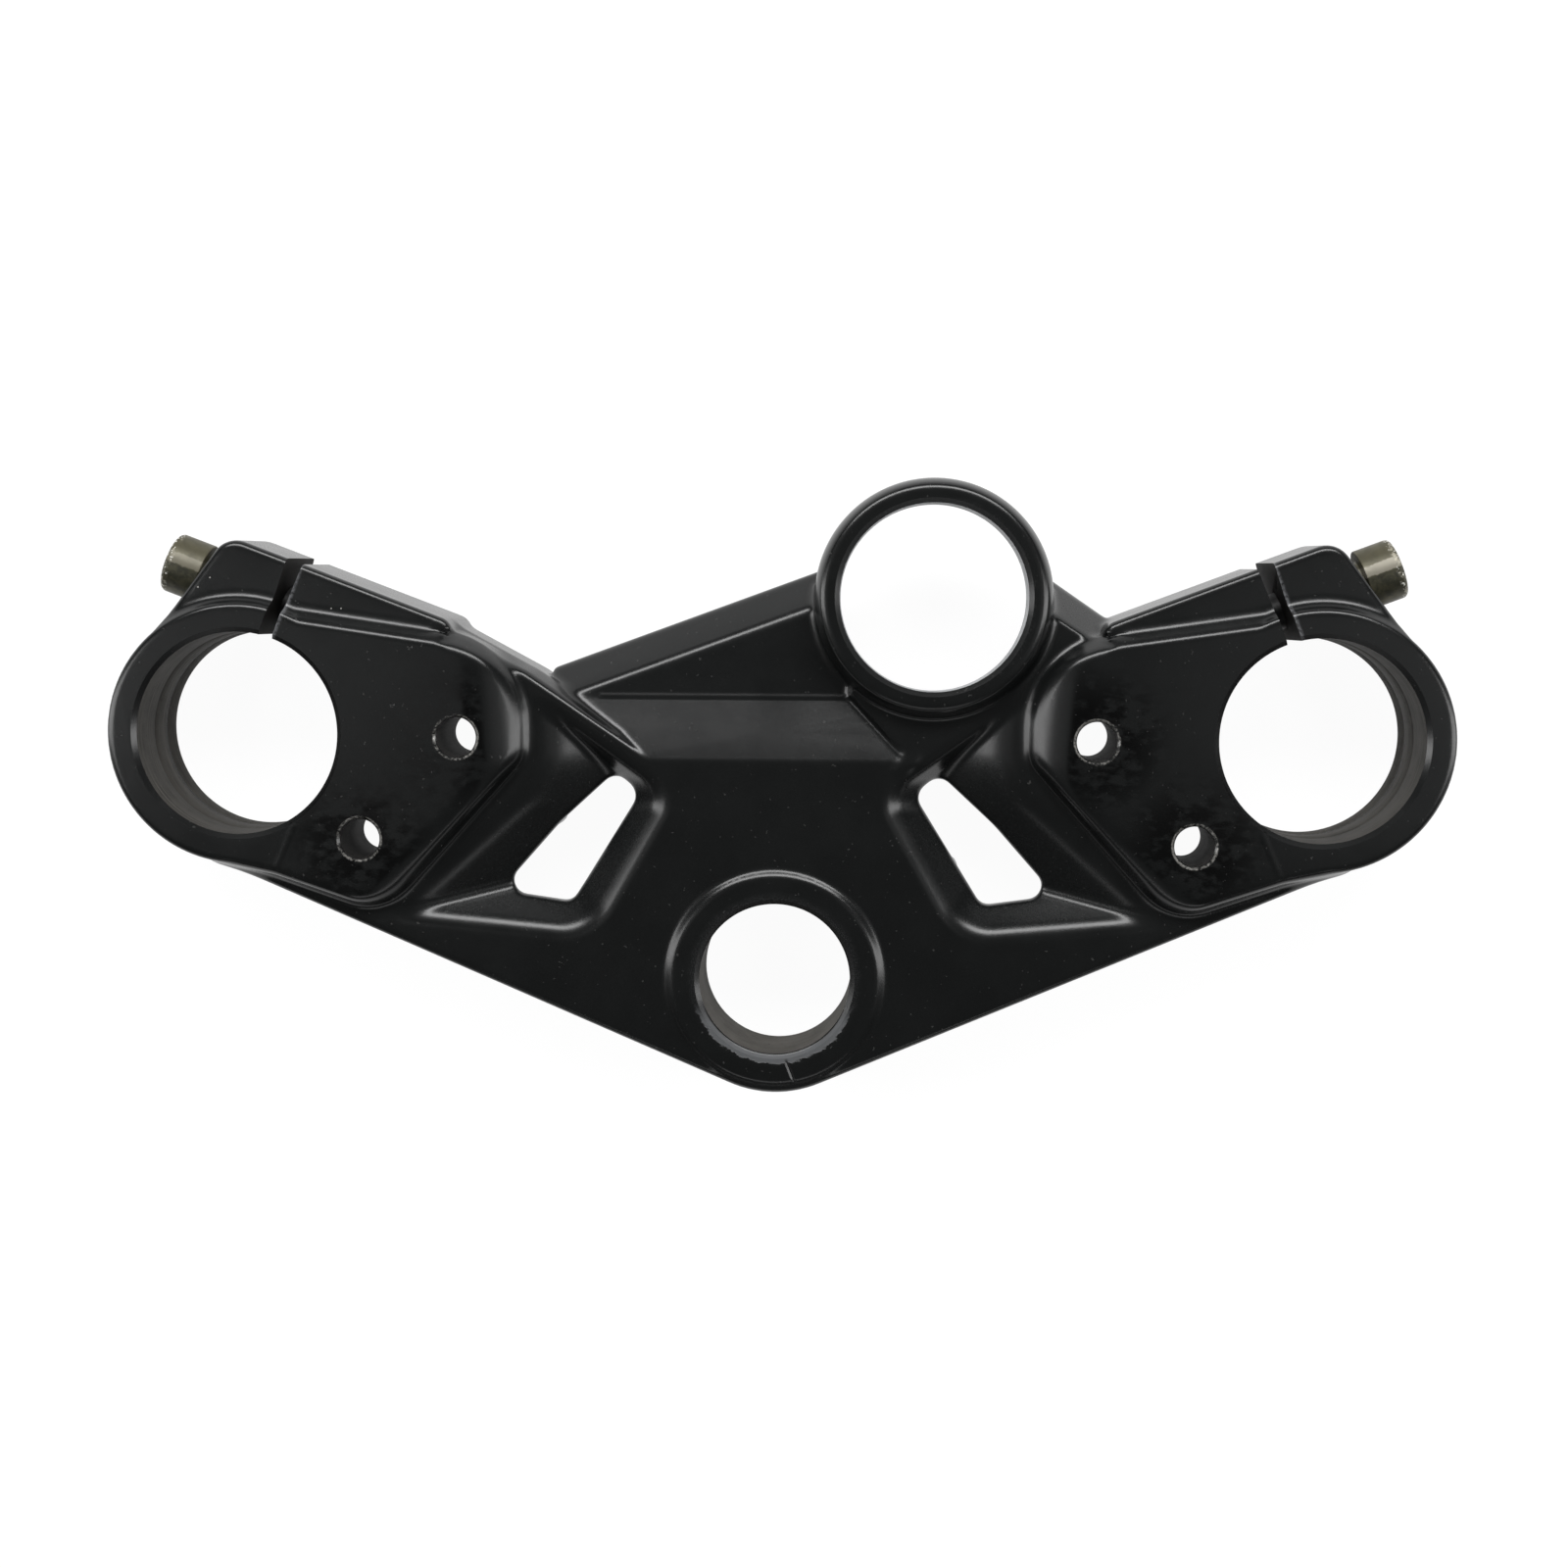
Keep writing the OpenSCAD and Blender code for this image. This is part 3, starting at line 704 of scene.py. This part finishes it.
def dressed(piece, materials, angle):
    """Gives a piece its materials, and shades it smooth but for edges sharper than an angle in degrees."""
    piece.data.materials.clear()
    for material in materials:
        piece.data.materials.append(material)
    piece.data.polygons.foreach_set("use_smooth", [True] * len(piece.data.polygons))
    piece.data.set_sharp_from_angle(angle=math.radians(angle))


def casting_cuts():
    """Everything that is cut from the casting: bores and holes, slots, and each screw's seat, clearance and tap."""
    s = sizes()
    top = s.clamp_top
    forks, holes, slots, seats, clears, taps = [], [], [], [], [], []
    fork = turned(bore_profile(s.fork_r, s.clamp_foot, top, 1.0, [(3.8, 0.25), (12.3, 0.2)]), 160)
    hole = turned([[s.hole_r, -5], [s.hole_r, top - 0.55], [s.hole_r + 0.6, top + 0.05], [s.hole_r + 2, top + 2]], 64)
    for mirrored in (False, True):
        sign = -1 if mirrored else 1
        forks.append(shifted(fork, sign * FORK_X, FORK_Y))
        holes += [shifted(hole, sign * (FORK_X + hx), FORK_Y + hy) for hx, hy in HOLES]
        slots.append(flipped(slot_cutter()) if mirrored else slot_cutter())
        for parts, r, low, high, steps in (
            (seats, SEAT_R, 0, 30, 64),
            (clears, CLEAR_R, s.slot_shift - SEAT_REACH, 0.5, 48),
            (taps, TAP_R, -TAP_END, s.slot_shift - TAP_START, 48),
        ):
            parts.append(at_screw(turned([[r, low], [r, high]], steps), mirrored))
    r = s.lock_r
    relief = [[r + 1.4, -5], [r + 1.4, 14], [r, 14.01]]
    lock = turned(relief + [[r, top - 1], [r + 1, top], [r + 3, top + 2]], 144)
    stem = turned(bore_profile(s.stem_r, 0, s.plate_top + CROWN_RISE, 1.0), 128)
    rounds = forks + holes + [stem, shifted(lock, LOCK_X, LOCK_Y)]
    groups = {"bores": rounds, "slots": slots, "seats": seats, "clears": clears, "taps": taps}
    return {name: joined(parts) for name, parts in groups.items()}


class BRIDGE_OT_casting(bpy.types.Operator):
    """Builds the casting's skin, cuts its bores, slots and holes, and paints it"""

    bl_idname = "bridge.casting"
    bl_label = "Casting"

    def execute(self, context):
        s = sizes()
        field, origin = casting_field(s.cell)
        points, faces = surface_nets(field, origin, s.cell)
        piece = new_mesh("yoke_casting", points, faces)
        thin = piece.modifiers.new("Thin", "DECIMATE")
        thin.ratio = min(1.0, s.triangles / (2 * len(faces)))
        cut_from(piece, casting_cuts())
        dressed(piece, (black_paint(), fork_bore(), hole_wall(), lock_bore(), stem_bore()), 38)
        piece.data.polygons.foreach_set("material_index", bore_numbers(piece.data))
        smooth_skin(piece.data, field, origin, s.cell)
        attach(piece, "root")
        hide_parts("top_yoke")
        return {"FINISHED"}


# ---- Shader maths ----


class Value:
    """A socket in a shader tree. Arithmetic on it adds Math nodes."""

    def __init__(self, shader, socket):
        self.shader, self.socket = shader, socket

    def maths(self, operation, *others):
        return self.shader.node("ShaderNodeMath", {"operation": operation}, [self, *others])

    def __add__(self, other):
        return self.maths("ADD", other)

    def __sub__(self, other):
        return self.maths("SUBTRACT", other)

    def __rsub__(self, other):
        return self.shader.node("ShaderNodeMath", {"operation": "SUBTRACT"}, [other, self])

    def __mul__(self, other):
        return self.maths("MULTIPLY", other)

    __radd__, __rmul__ = __add__, __mul__

    def __pow__(self, other):
        return self.maths("POWER", other)

    def __abs__(self):
        return self.maths("ABSOLUTE")

    def most(self, other):
        return self.maths("MAXIMUM", other)

    def step(self, low, high):
        """0 below low, 1 above high and a soft step between; the other way round where low is above high."""
        ends = [low, high, 0.0, 1.0] if low < high else [high, low, 1.0, 0.0]
        return self.shader.node("ShaderNodeMapRange", {"interpolation_type": "SMOOTHSTEP"}, [self, *ends])


class Shader:
    """A material's tree and the nodes that its finish is made of."""

    def __init__(self, name):
        self.material = bpy.data.materials.new(name)
        self.material.use_nodes = True
        self.tree = self.material.node_tree
        self.tree.nodes.clear()

    def node(self, kind, settings=None, inputs=(), output=0):
        """Adds a node: its settings first, then the values or links of its sockets, by place or by name."""
        made = self.tree.nodes.new(kind)
        for key, value in (settings or {}).items():
            setattr(made, key, value)
        pairs = inputs.items() if isinstance(inputs, dict) else enumerate(inputs)
        for key, value in pairs:
            if isinstance(value, Value):
                self.tree.links.new(value.socket, made.inputs[key])
            elif value is not None:
                made.inputs[key].default_value = value
        return Value(self, made.outputs[output])

    def place(self):
        """Object coordinates in millimetres."""
        co = self.node("ShaderNodeTexCoord", output="Object")
        return self.node("ShaderNodeVectorMath", {"operation": "SCALE"}, {0: co, "Scale": 1000.0})

    def split(self, vector):
        made = self.node("ShaderNodeSeparateXYZ", inputs=[vector]).socket.node
        return [Value(self, made.outputs[i]) for i in range(3)]

    def noise(self, vector, scale, detail=3.0, rough=0.55, seed=0.0):
        """Noise of about the given number of blobs per millimetre."""
        inputs = {"Vector": vector, "W": seed, "Scale": scale, "Detail": detail, "Roughness": rough}
        return self.node("ShaderNodeTexNoise", {"noise_dimensions": "4D"}, inputs)

    def stretch(self, vector, x, y, z):
        return self.node("ShaderNodeVectorMath", {"operation": "MULTIPLY"}, [vector, (x, y, z)])

    def mix(self, factor, a, b):
        """Colour b over colour a."""
        made = self.node("ShaderNodeMix", {"data_type": "RGBA"}).socket.node
        for i, v in ((0, factor), (6, a), (7, b)):
            if isinstance(v, Value):
                self.tree.links.new(v.socket, made.inputs[i])
            else:
                made.inputs[i].default_value = v if i == 0 else (*v, 1.0)
        return Value(self, made.outputs[2])

    def bump(self, height, strength, distance_mm, normal=None):
        inputs = {"Strength": strength, "Distance": distance_mm * MM, "Height": height, "Normal": normal}
        return self.node("ShaderNodeBump", {}, inputs)

    def finish(self, **sockets):
        """Principled shader with the named sockets, to the output."""
        names = {k.replace("_", " "): v for k, v in sockets.items()}
        made = self.node("ShaderNodeBsdfPrincipled", {}, names)
        self.node_output(made)
        return self.material

    def node_output(self, surface):
        out = self.tree.nodes.new("ShaderNodeOutputMaterial")
        self.tree.links.new(surface.socket, out.inputs["Surface"])


def apart(x, y, px, py):
    """Distance of sockets x and y from a place: the root of the sum of both squares."""
    return ((x - px) ** 2.0 + (y - py) ** 2.0) ** 0.5


def spots(x, y, places):
    """Union of small soft discs: 1 at the middle of each given place, 0 at its radius."""
    discs = [apart(x, y, px, py).step(r, r * 0.3) for px, py, r in places]
    return functools.reduce(Value.most, discs)


def line_mask(x, y, a, b, half):
    """Soft line between two points: 1 on it, 0 at half its width, and 0 past its ends."""
    dx, dy = b[0] - a[0], b[1] - a[1]
    long = math.hypot(dx, dy)
    along = (x - a[0]) * (dx / long) + (y - a[1]) * (dy / long)
    off = abs((x - a[0]) * (-dy / long) + (y - a[1]) * (dx / long))
    return off.step(half, 0.0) * along.step(-0.5, 0.5) * along.step(long + 0.5, long - 0.5)


def black_paint():
    """Satin black paint over a sand-cast skin: smooth on the flats, grainy on slopes and in the pockets, glossy
    and stained round the handlebar holes, and rubbed through to metal at the rims of the holes."""
    c = colours()
    s = sizes()
    sh = Shader("black_paint")
    p = sh.place()
    x, y, z = sh.split(p)
    ax = abs(x)
    grain = sh.noise(p, 1.7, 4.0, 0.62)
    fine = sh.noise(p, 5.0, 3.0, 0.6, 2.0)
    cloud = sh.noise(p, 0.09, 4.0, 0.6, 5.0)
    smear = sh.noise(sh.stretch(p, 0.34, 0.62, 0.5), 1.0, 5.0, 0.6, 9.0)
    top = z.step(s.plate_top - 1.3, s.plate_top - 0.3)
    front = y.step(PLATE_FRONT - 1.0, PLATE_FRONT + 1.0) * ax.step(52.0, 48.0)
    sand = (1.0 - top) * (1.0 - front * 0.75)
    aways = [apart(ax, y, FORK_X + hx, FORK_Y + hy) for hx, hy in HOLES]
    near_holes = aways[0].step(19.0, 6.0).most(aways[1].step(19.0, 6.0))
    rim = aways[0].step(s.hole_r + 0.8, s.hole_r + 0.45).most(aways[1].step(s.hole_r + 0.8, s.hole_r + 0.45))
    on_pad = z.step(s.clamp_top - 0.5, s.clamp_top - 0.2)
    rim = rim * on_pad * (grain * 0.5 + cloud * 0.5).step(0.44, 0.6)
    shine = near_holes * on_pad * (cloud * 0.55 + smear * 0.45).step(0.44, 0.54)
    paint = sh.mix(cloud.step(0.35, 0.7) * 0.5, tuple(c.paint), shade(c.paint, 1.3))
    paint = sh.mix(sand * grain.step(0.42, 0.75) * 0.55, paint, shade(c.paint, 2.2))
    along, out = clamp_ways(ax - FORK_X, y - FORK_Y)
    beside = (along + s.slot_shift) * (1.0 - x.step(-1.0, 1.0) * 2.0)
    lit = beside.step(1.35, 1.5) * beside.step(2.5, 1.6) * out.step(20.0, 22.0)
    lit = lit * z.step(s.ear_top - 1.5, s.ear_top - 0.5)
    paint = sh.mix(lit * grain.step(0.3, 0.6) * 0.8, paint, (0.11, 0.112, 0.118))
    paint = sh.mix(shine * 0.9, paint, (0.0008, 0.0008, 0.0008))
    dust = sh.noise(p, 1.4, 1.0, 0.5, 21.0).step(0.73, 0.76)
    paint = sh.mix(dust * 0.35, paint, (0.07, 0.07, 0.068))
    ragged = (x * x + y * y) ** 0.5 + (smear - 0.5) * 2.2 + (grain - 0.5) * 0.8
    on_boss = z.step(s.plate_top + 0.1, s.plate_top + 0.5)
    scraped = ragged.step(s.stem_r + 2.1, s.stem_r + 1.7) * y.step(-5.0, -10.0) * on_boss
    fuzz = ragged.step(s.stem_r + 3.0, s.stem_r + 0.9) * fine.step(0.45, 0.7) * on_boss
    from_lock = apart(x, y, LOCK_X, LOCK_Y) + (smear - 0.5) * 3.0
    rubbed = from_lock.step(s.lock_r + 2.2, s.lock_r + 0.4) * fine.step(0.5, 0.75)
    fuzz = fuzz.most(rubbed * on_pad * (x - LOCK_X).step(-6.0, 8.0))
    paint = sh.mix(fuzz * 0.45, paint, (0.06, 0.06, 0.062))
    paint = sh.mix(scraped * 0.85, paint, (0.085, 0.088, 0.092))
    crack = line_mask(x, y, (2.6, -17.4), (4.6, -22.4), 0.55) * z.step(s.plate_top + 0.6, s.plate_top + 0.9)
    paint = sh.mix(crack * grain.step(0.3, 0.5), paint, (0.001, 0.001, 0.001))
    speck = spots(x, y, SPECKS) * z.step(s.ear_top - 0.6, s.ear_top - 0.3)
    paint = sh.mix((speck * 0.8).most(rim * 0.8), paint, (0.34, 0.33, 0.31))
    rough = 0.24 + (grain - 0.5) * 0.08 + (cloud - 0.5) * 0.1 + sand * 0.03
    rough = (rough - shine * 0.12 + scraped * 0.2).most(0.1)
    pits = spots(x, y, PITS) * on_pad
    lip = line_mask(x, y, (-38.0, PLATE_FRONT + RAMP), (18.0, PLATE_FRONT + RAMP), 0.9) * (1.0 - top)
    seam = line_mask(ax, y, (FORK_X - 12.3, FORK_Y - 19.3), (FORK_X - 8.2, FORK_Y - 29.0), 1.1) * on_pad
    height = grain * (0.2 + sand * 0.9) + fine * (0.14 + sand * 0.4)
    normal = sh.bump(height, 0.3, 0.05)
    normal = sh.bump(lip * 0.4 + seam * 0.15 - pits * 1.4 - crack * 1.2 - scraped * 0.3, 0.8, 0.35, normal)
    metal = rim * 0.4
    return sh.finish(Base_Color=paint, Roughness=rough, Metallic=metal, Normal=normal, Specular_IOR_Level=0.4)


def bare_bore(name, colour, dark, light, rough, turning, gloss):
    """Turned wall of a bore: fine rings of feed marks round it, blotched by stain, with small dark specks."""
    sh = Shader(name)
    p = sh.place()
    rings = sh.noise(sh.stretch(p, 0.02, 0.02, 3.2), 1.0, 4.0, 0.7, 8.0)
    stain = sh.noise(p, 0.14, 4.0, 0.6, 11.0)
    fine = sh.noise(p, 2.6, 3.0, 0.6, 4.0)
    speck = sh.noise(p, 0.8, 2.0, 0.5, 14.0)
    tone = sh.mix(stain.step(0.3, 0.7) * 0.8, colour, dark)
    tone = sh.mix(rings.step(0.54, 0.64) * stain.step(0.35, 0.6) * 0.75, tone, light)
    tone = sh.mix(speck.step(0.7, 0.73) * 0.8, tone, (0.004, 0.004, 0.004))
    normal = sh.bump(rings * turning + fine * 0.3, 0.7, 0.12)
    rough = rough + (stain - 0.5) * 0.2
    return sh.finish(Base_Color=tone, Roughness=rough, Metallic=0.0, Normal=normal, Specular_IOR_Level=gloss)


def fork_bore():
    c = tuple(colours().bare)
    return bare_bore("fork_bore", c, shade(c, 0.4), shade(c, 3.2), 0.7, 1.0, 0.15)


def hole_wall():
    return bare_bore("hole_wall", (0.012, 0.011, 0.01), (0.004, 0.004, 0.004), (0.05, 0.046, 0.04), 0.7, 0.6, 0.12)


def lock_bore():
    c = tuple(colours().pale)
    return bare_bore("lock_bore", c, shade(c, 0.55), shade(c, 1.3), 0.5, 0.4, 0.3)


def stem_bore():
    c = tuple(colours().bare)
    return bare_bore("stem_bore", shade(c, 1.5), shade(c, 0.9), shade(c, 2.2), 0.7, 0.3, 0.15)


def plated_steel():
    """Olive zinc plating worn bright round each head's outer rim, with painted light: a painted dark reflection down
    one side of each head, a painted highlight band beside it, and painted shade in the socket and on the shank inside
    the slot.
    """
    c = colours()
    sh = Shader("plated_steel")
    p = sh.place()
    x, y, z = sh.split(p)
    seat = at_clamp(-SEAT_REACH, SCREW_REACH)
    inward, over = clamp_ways(abs(x) - seat[0], y - seat[1])
    along = inward * -1.0
    right = x.step(-1.0, 1.0)
    blotch = sh.noise(p, 0.4, 4.0, 0.6)
    fine = sh.noise(p, 3.5, 3.0, 0.6, 3.0)
    # Noise that shapes the edge and strength of the painted dark reflection and highlight band, and patches the worn
    # rim and the bump.
    grime_and_shade_noise = sh.noise(p, 0.75, 4.0, 0.65, 6.0)
    speck = sh.noise(p, 1.9, 2.0, 0.6, 7.0)
    edge = over + (grime_and_shade_noise - 0.5) * 1.2
    colour = sh.mix(blotch.step(0.35, 0.68) * 0.6, tuple(c.plating), shade(c.plating, 0.6))
    # Painted dark reflection: a dark band down one side of each head, blotched by noise.
    dark = edge.step(0.7, 0.1) * edge.step(-5.3, -4.5)
    colour = sh.mix(dark * (0.55 + grime_and_shade_noise.step(0.4, 0.6) * 0.4), colour, (0.012, 0.012, 0.005))
    # Painted highlight: a pale band along each head beside the dark reflection, stronger on the right screw.
    painted_highlight = edge.step(0.3, 0.6) * edge.step(2.9, 2.6)
    colour = sh.mix(painted_highlight * (0.35 + right * 0.4), colour, shade(c.steel, 0.36))
    wide = (over * over + (z - SCREW_Z) ** 2.0) ** 0.5
    rim = along.step(6.2, 7.0) * wide.step(5.0, 5.6)
    colour = sh.mix(rim * grime_and_shade_noise.step(0.52, 0.6) * 0.6, colour, shade(c.steel, 0.6))
    colour = sh.mix(rim * speck.step(0.6, 0.64), colour, (0.8, 0.79, 0.74))
    # Painted shade: a dark disc over the socket's mouth on the head's top.
    inside = wide.step(3.6, 3.3) * along.step(7.9, 7.2)
    colour = sh.mix(inside * 0.7, colour, (0.01, 0.01, 0.006))
    # Painted shade: the shank turned near black where it lies inside the clamp's slot.
    colour = sh.mix(along.step(-12.0, -14.0), colour, (0.003, 0.003, 0.003))
    rough = 0.46 + (blotch - 0.5) * 0.25 + (fine - 0.5) * 0.15
    normal = sh.bump(fine * 0.4 + grime_and_shade_noise * 0.6, 0.3, 0.05)
    return sh.finish(Base_Color=colour, Roughness=rough, Metallic=0.35, Normal=normal)


def screw_shape():
    """Socket head screw about Z: shank, short fillet, and a head with a straight side and a wide rounded rim."""
    s = sizes()
    under = bend(s.screw_r + 0.5, -0.5, 0.5, 180, 90)
    low = bend(s.head_r - 0.3, 0.3, 0.3, 270, 360)
    rim = bend(s.head_r - 1.0, s.head_h - 1.0, 1.0, 0, 80)
    end = [[s.screw_r - 0.8, -s.screw_l], [s.screw_r, 0.8 - s.screw_l]]
    return turned(end + under + low + rim + [[3.9, s.head_h]], 96)


def socket_shape():
    """Hexagon socket: a six-sided prism whose mouth flares out in a cone."""
    s = sizes()
    r = 3.0 / math.cos(math.radians(30))
    line = [[r, -4.0], [r, -0.3], [r + 0.7, 0.4], [r + 0.7, 2]]
    return turned([[a, s.head_h + h] for a, h in line], 6)


class BRIDGE_OT_screws(bpy.types.Operator):
    """Builds the two pinch screws, with their sockets, in their olive plating"""

    bl_idname = "bridge.screws"
    bl_label = "Pinch screws"

    def execute(self, context):
        material = plated_steel()
        for side, mirrored in (("left", True), ("right", False)):
            piece = new_mesh(side + "_screw", *at_screw(screw_shape(), mirrored))
            cut_from(piece, {"socket": at_screw(socket_shape(), mirrored)})
            dressed(piece, [material], 35)
            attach(piece, "root")
            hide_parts(side + "_pinch_bolt")
        return {"FINISHED"}


# ---- Stage ----


class StageSettings(bpy.types.PropertyGroup):
    camera_place: FloatVectorProperty(
        name="Camera", description="Camera's place, mm", size=3, default=(22.44, 78.21, 531.09)
    )
    camera_turn: FloatVectorProperty(
        name="Camera turn", description="Camera's angles", subtype="EULER", default=(-0.0710893, 0.0408736, 0.0057941)
    )
    lens: length("Lens", "Focal length on a 36 mm sensor", 55.282)
    sky: FloatProperty(name="Sky", description="Strength of the even light", default=0.07)


LAMPS = [
    # name, place, size, radiance, mm and W/(m2 sr)
    ("front_box", (0, 680, 620), (1100, 250), 12.5),
    ("left_top", (-430, 60, 780), (160, 500), 0.5),
    ("right_top", (430, 60, 780), (160, 500), 0.5),
    ("left_box", (-740, 90, 440), (240, 800), 6.0),
    ("right_box", (740, 40, 440), (240, 800), 6.0),
    ("back_box", (0, -640, 540), (700, 120), 2.4),
]


class BRIDGE_OT_stage(bpy.types.Operator):
    """Sets up the floor with its low backdrop, the soft lamps and the camera"""

    bl_idname = "bridge.stage"
    bl_label = "Stage"

    def execute(self, context):
        scene = context.scene
        stage = scene.bridge_stage
        scene.view_settings.view_transform = "Standard"
        world = bpy.data.worlds.new("studio")
        scene.world = world
        world.use_nodes = True
        world.node_tree.nodes["Background"].inputs["Color"].default_value = (1, 1, 1, 1)
        world.node_tree.nodes["Background"].inputs["Strength"].default_value = stage.sky
        low = sizes().clamp_foot - 0.02
        square = np.array([[-4000.0, -4000.0], [4000.0, -4000.0], [4000.0, 4000.0], [-4000.0, 4000.0]])
        points = np.concatenate([np.column_stack([square, np.full(4, z)]) for z in (low, low + 500)])
        faces = [[0, 1, 2, 3], [1, 0, 4, 5], [2, 1, 5, 6], [3, 2, 6, 7], [0, 3, 7, 4]]
        floor = new_mesh("floor", points, np.array(faces))
        floor.data.materials.append(floor_paint())
        aim = Vector((0, 40, 10)) * MM
        for name, place, size, radiance in LAMPS:
            lamp = bpy.data.lights.new(name, "AREA")
            lamp.shape = "RECTANGLE"
            lamp.size, lamp.size_y = size[0] * MM, size[1] * MM
            lamp.energy = radiance * math.pi * lamp.size * lamp.size_y
            holder = linked(name, lamp)
            holder.location = Vector(place) * MM
            holder.rotation_euler = (aim - holder.location).to_track_quat("-Z", "Y").to_euler()
        camera = bpy.data.cameras.new("camera")
        camera.sensor_width = 36.0
        camera.lens = stage.lens
        camera.clip_start = 0.01
        holder = linked("camera", camera)
        holder.location = Vector(stage.camera_place) * MM
        holder.rotation_euler = Euler(stage.camera_turn, "XYZ")
        scene.camera = holder
        return {"FINISHED"}


def floor_paint():
    """White floor: lit as a pale sheet, and seen as nearly even white that keeps the object's shadow."""
    sh = Shader("floor")
    sheet = sh.node("ShaderNodeBsdfDiffuse", {}, {"Color": (0.9, 0.9, 0.9, 1)})
    glow = sh.node("ShaderNodeEmission", {}, {"Color": (1, 1, 1, 1), "Strength": 1.06})
    path = sh.node("ShaderNodeLightPath").socket.node
    seen = Value(sh, path.outputs["Is Camera Ray"]).most(Value(sh, path.outputs["Is Glossy Ray"]))
    seen = seen.most(Value(sh, path.outputs["Is Transmission Ray"]))
    mixed = sh.node("ShaderNodeMixShader", {}, [seen * 0.9, sheet, glow])
    sh.node_output(mixed)
    return sh.material


# ---- Panel ----


class BRIDGE_PT_panel(bpy.types.Panel):
    """Lists the bridge's pieces and sizes"""

    bl_label = "Fork bridge"
    bl_idname = "BRIDGE_PT_panel"
    bl_space_type = "VIEW_3D"
    bl_region_type = "UI"
    bl_category = "Fork bridge"

    def draw(self, context):
        for operator in OPERATORS:
            self.layout.operator(operator.bl_idname)
        for key in GROUPS:
            group, box = getattr(context.scene, key), self.layout.box()
            for name in group.__annotations__:
                box.prop(group, name)


OPERATORS = (BRIDGE_OT_casting, BRIDGE_OT_screws, BRIDGE_OT_stage)
GROUPS = {"bridge_sizes": BridgeSizes, "bridge_colours": BridgeColours, "bridge_stage": StageSettings}


def register():
    for cls in (*GROUPS.values(), *OPERATORS, BRIDGE_PT_panel):
        bpy.utils.register_class(cls)
    for name, group in GROUPS.items():
        setattr(bpy.types.Scene, name, PointerProperty(type=group))


def unregister():
    for name in GROUPS:
        delattr(bpy.types.Scene, name)
    for cls in reversed((*GROUPS.values(), *OPERATORS, BRIDGE_PT_panel)):
        bpy.utils.unregister_class(cls)


def main():
    register()
    bpy.ops.bridge.casting()
    bpy.ops.bridge.screws()
    bpy.ops.bridge.stage()


if __name__ == "__main__":
    main()
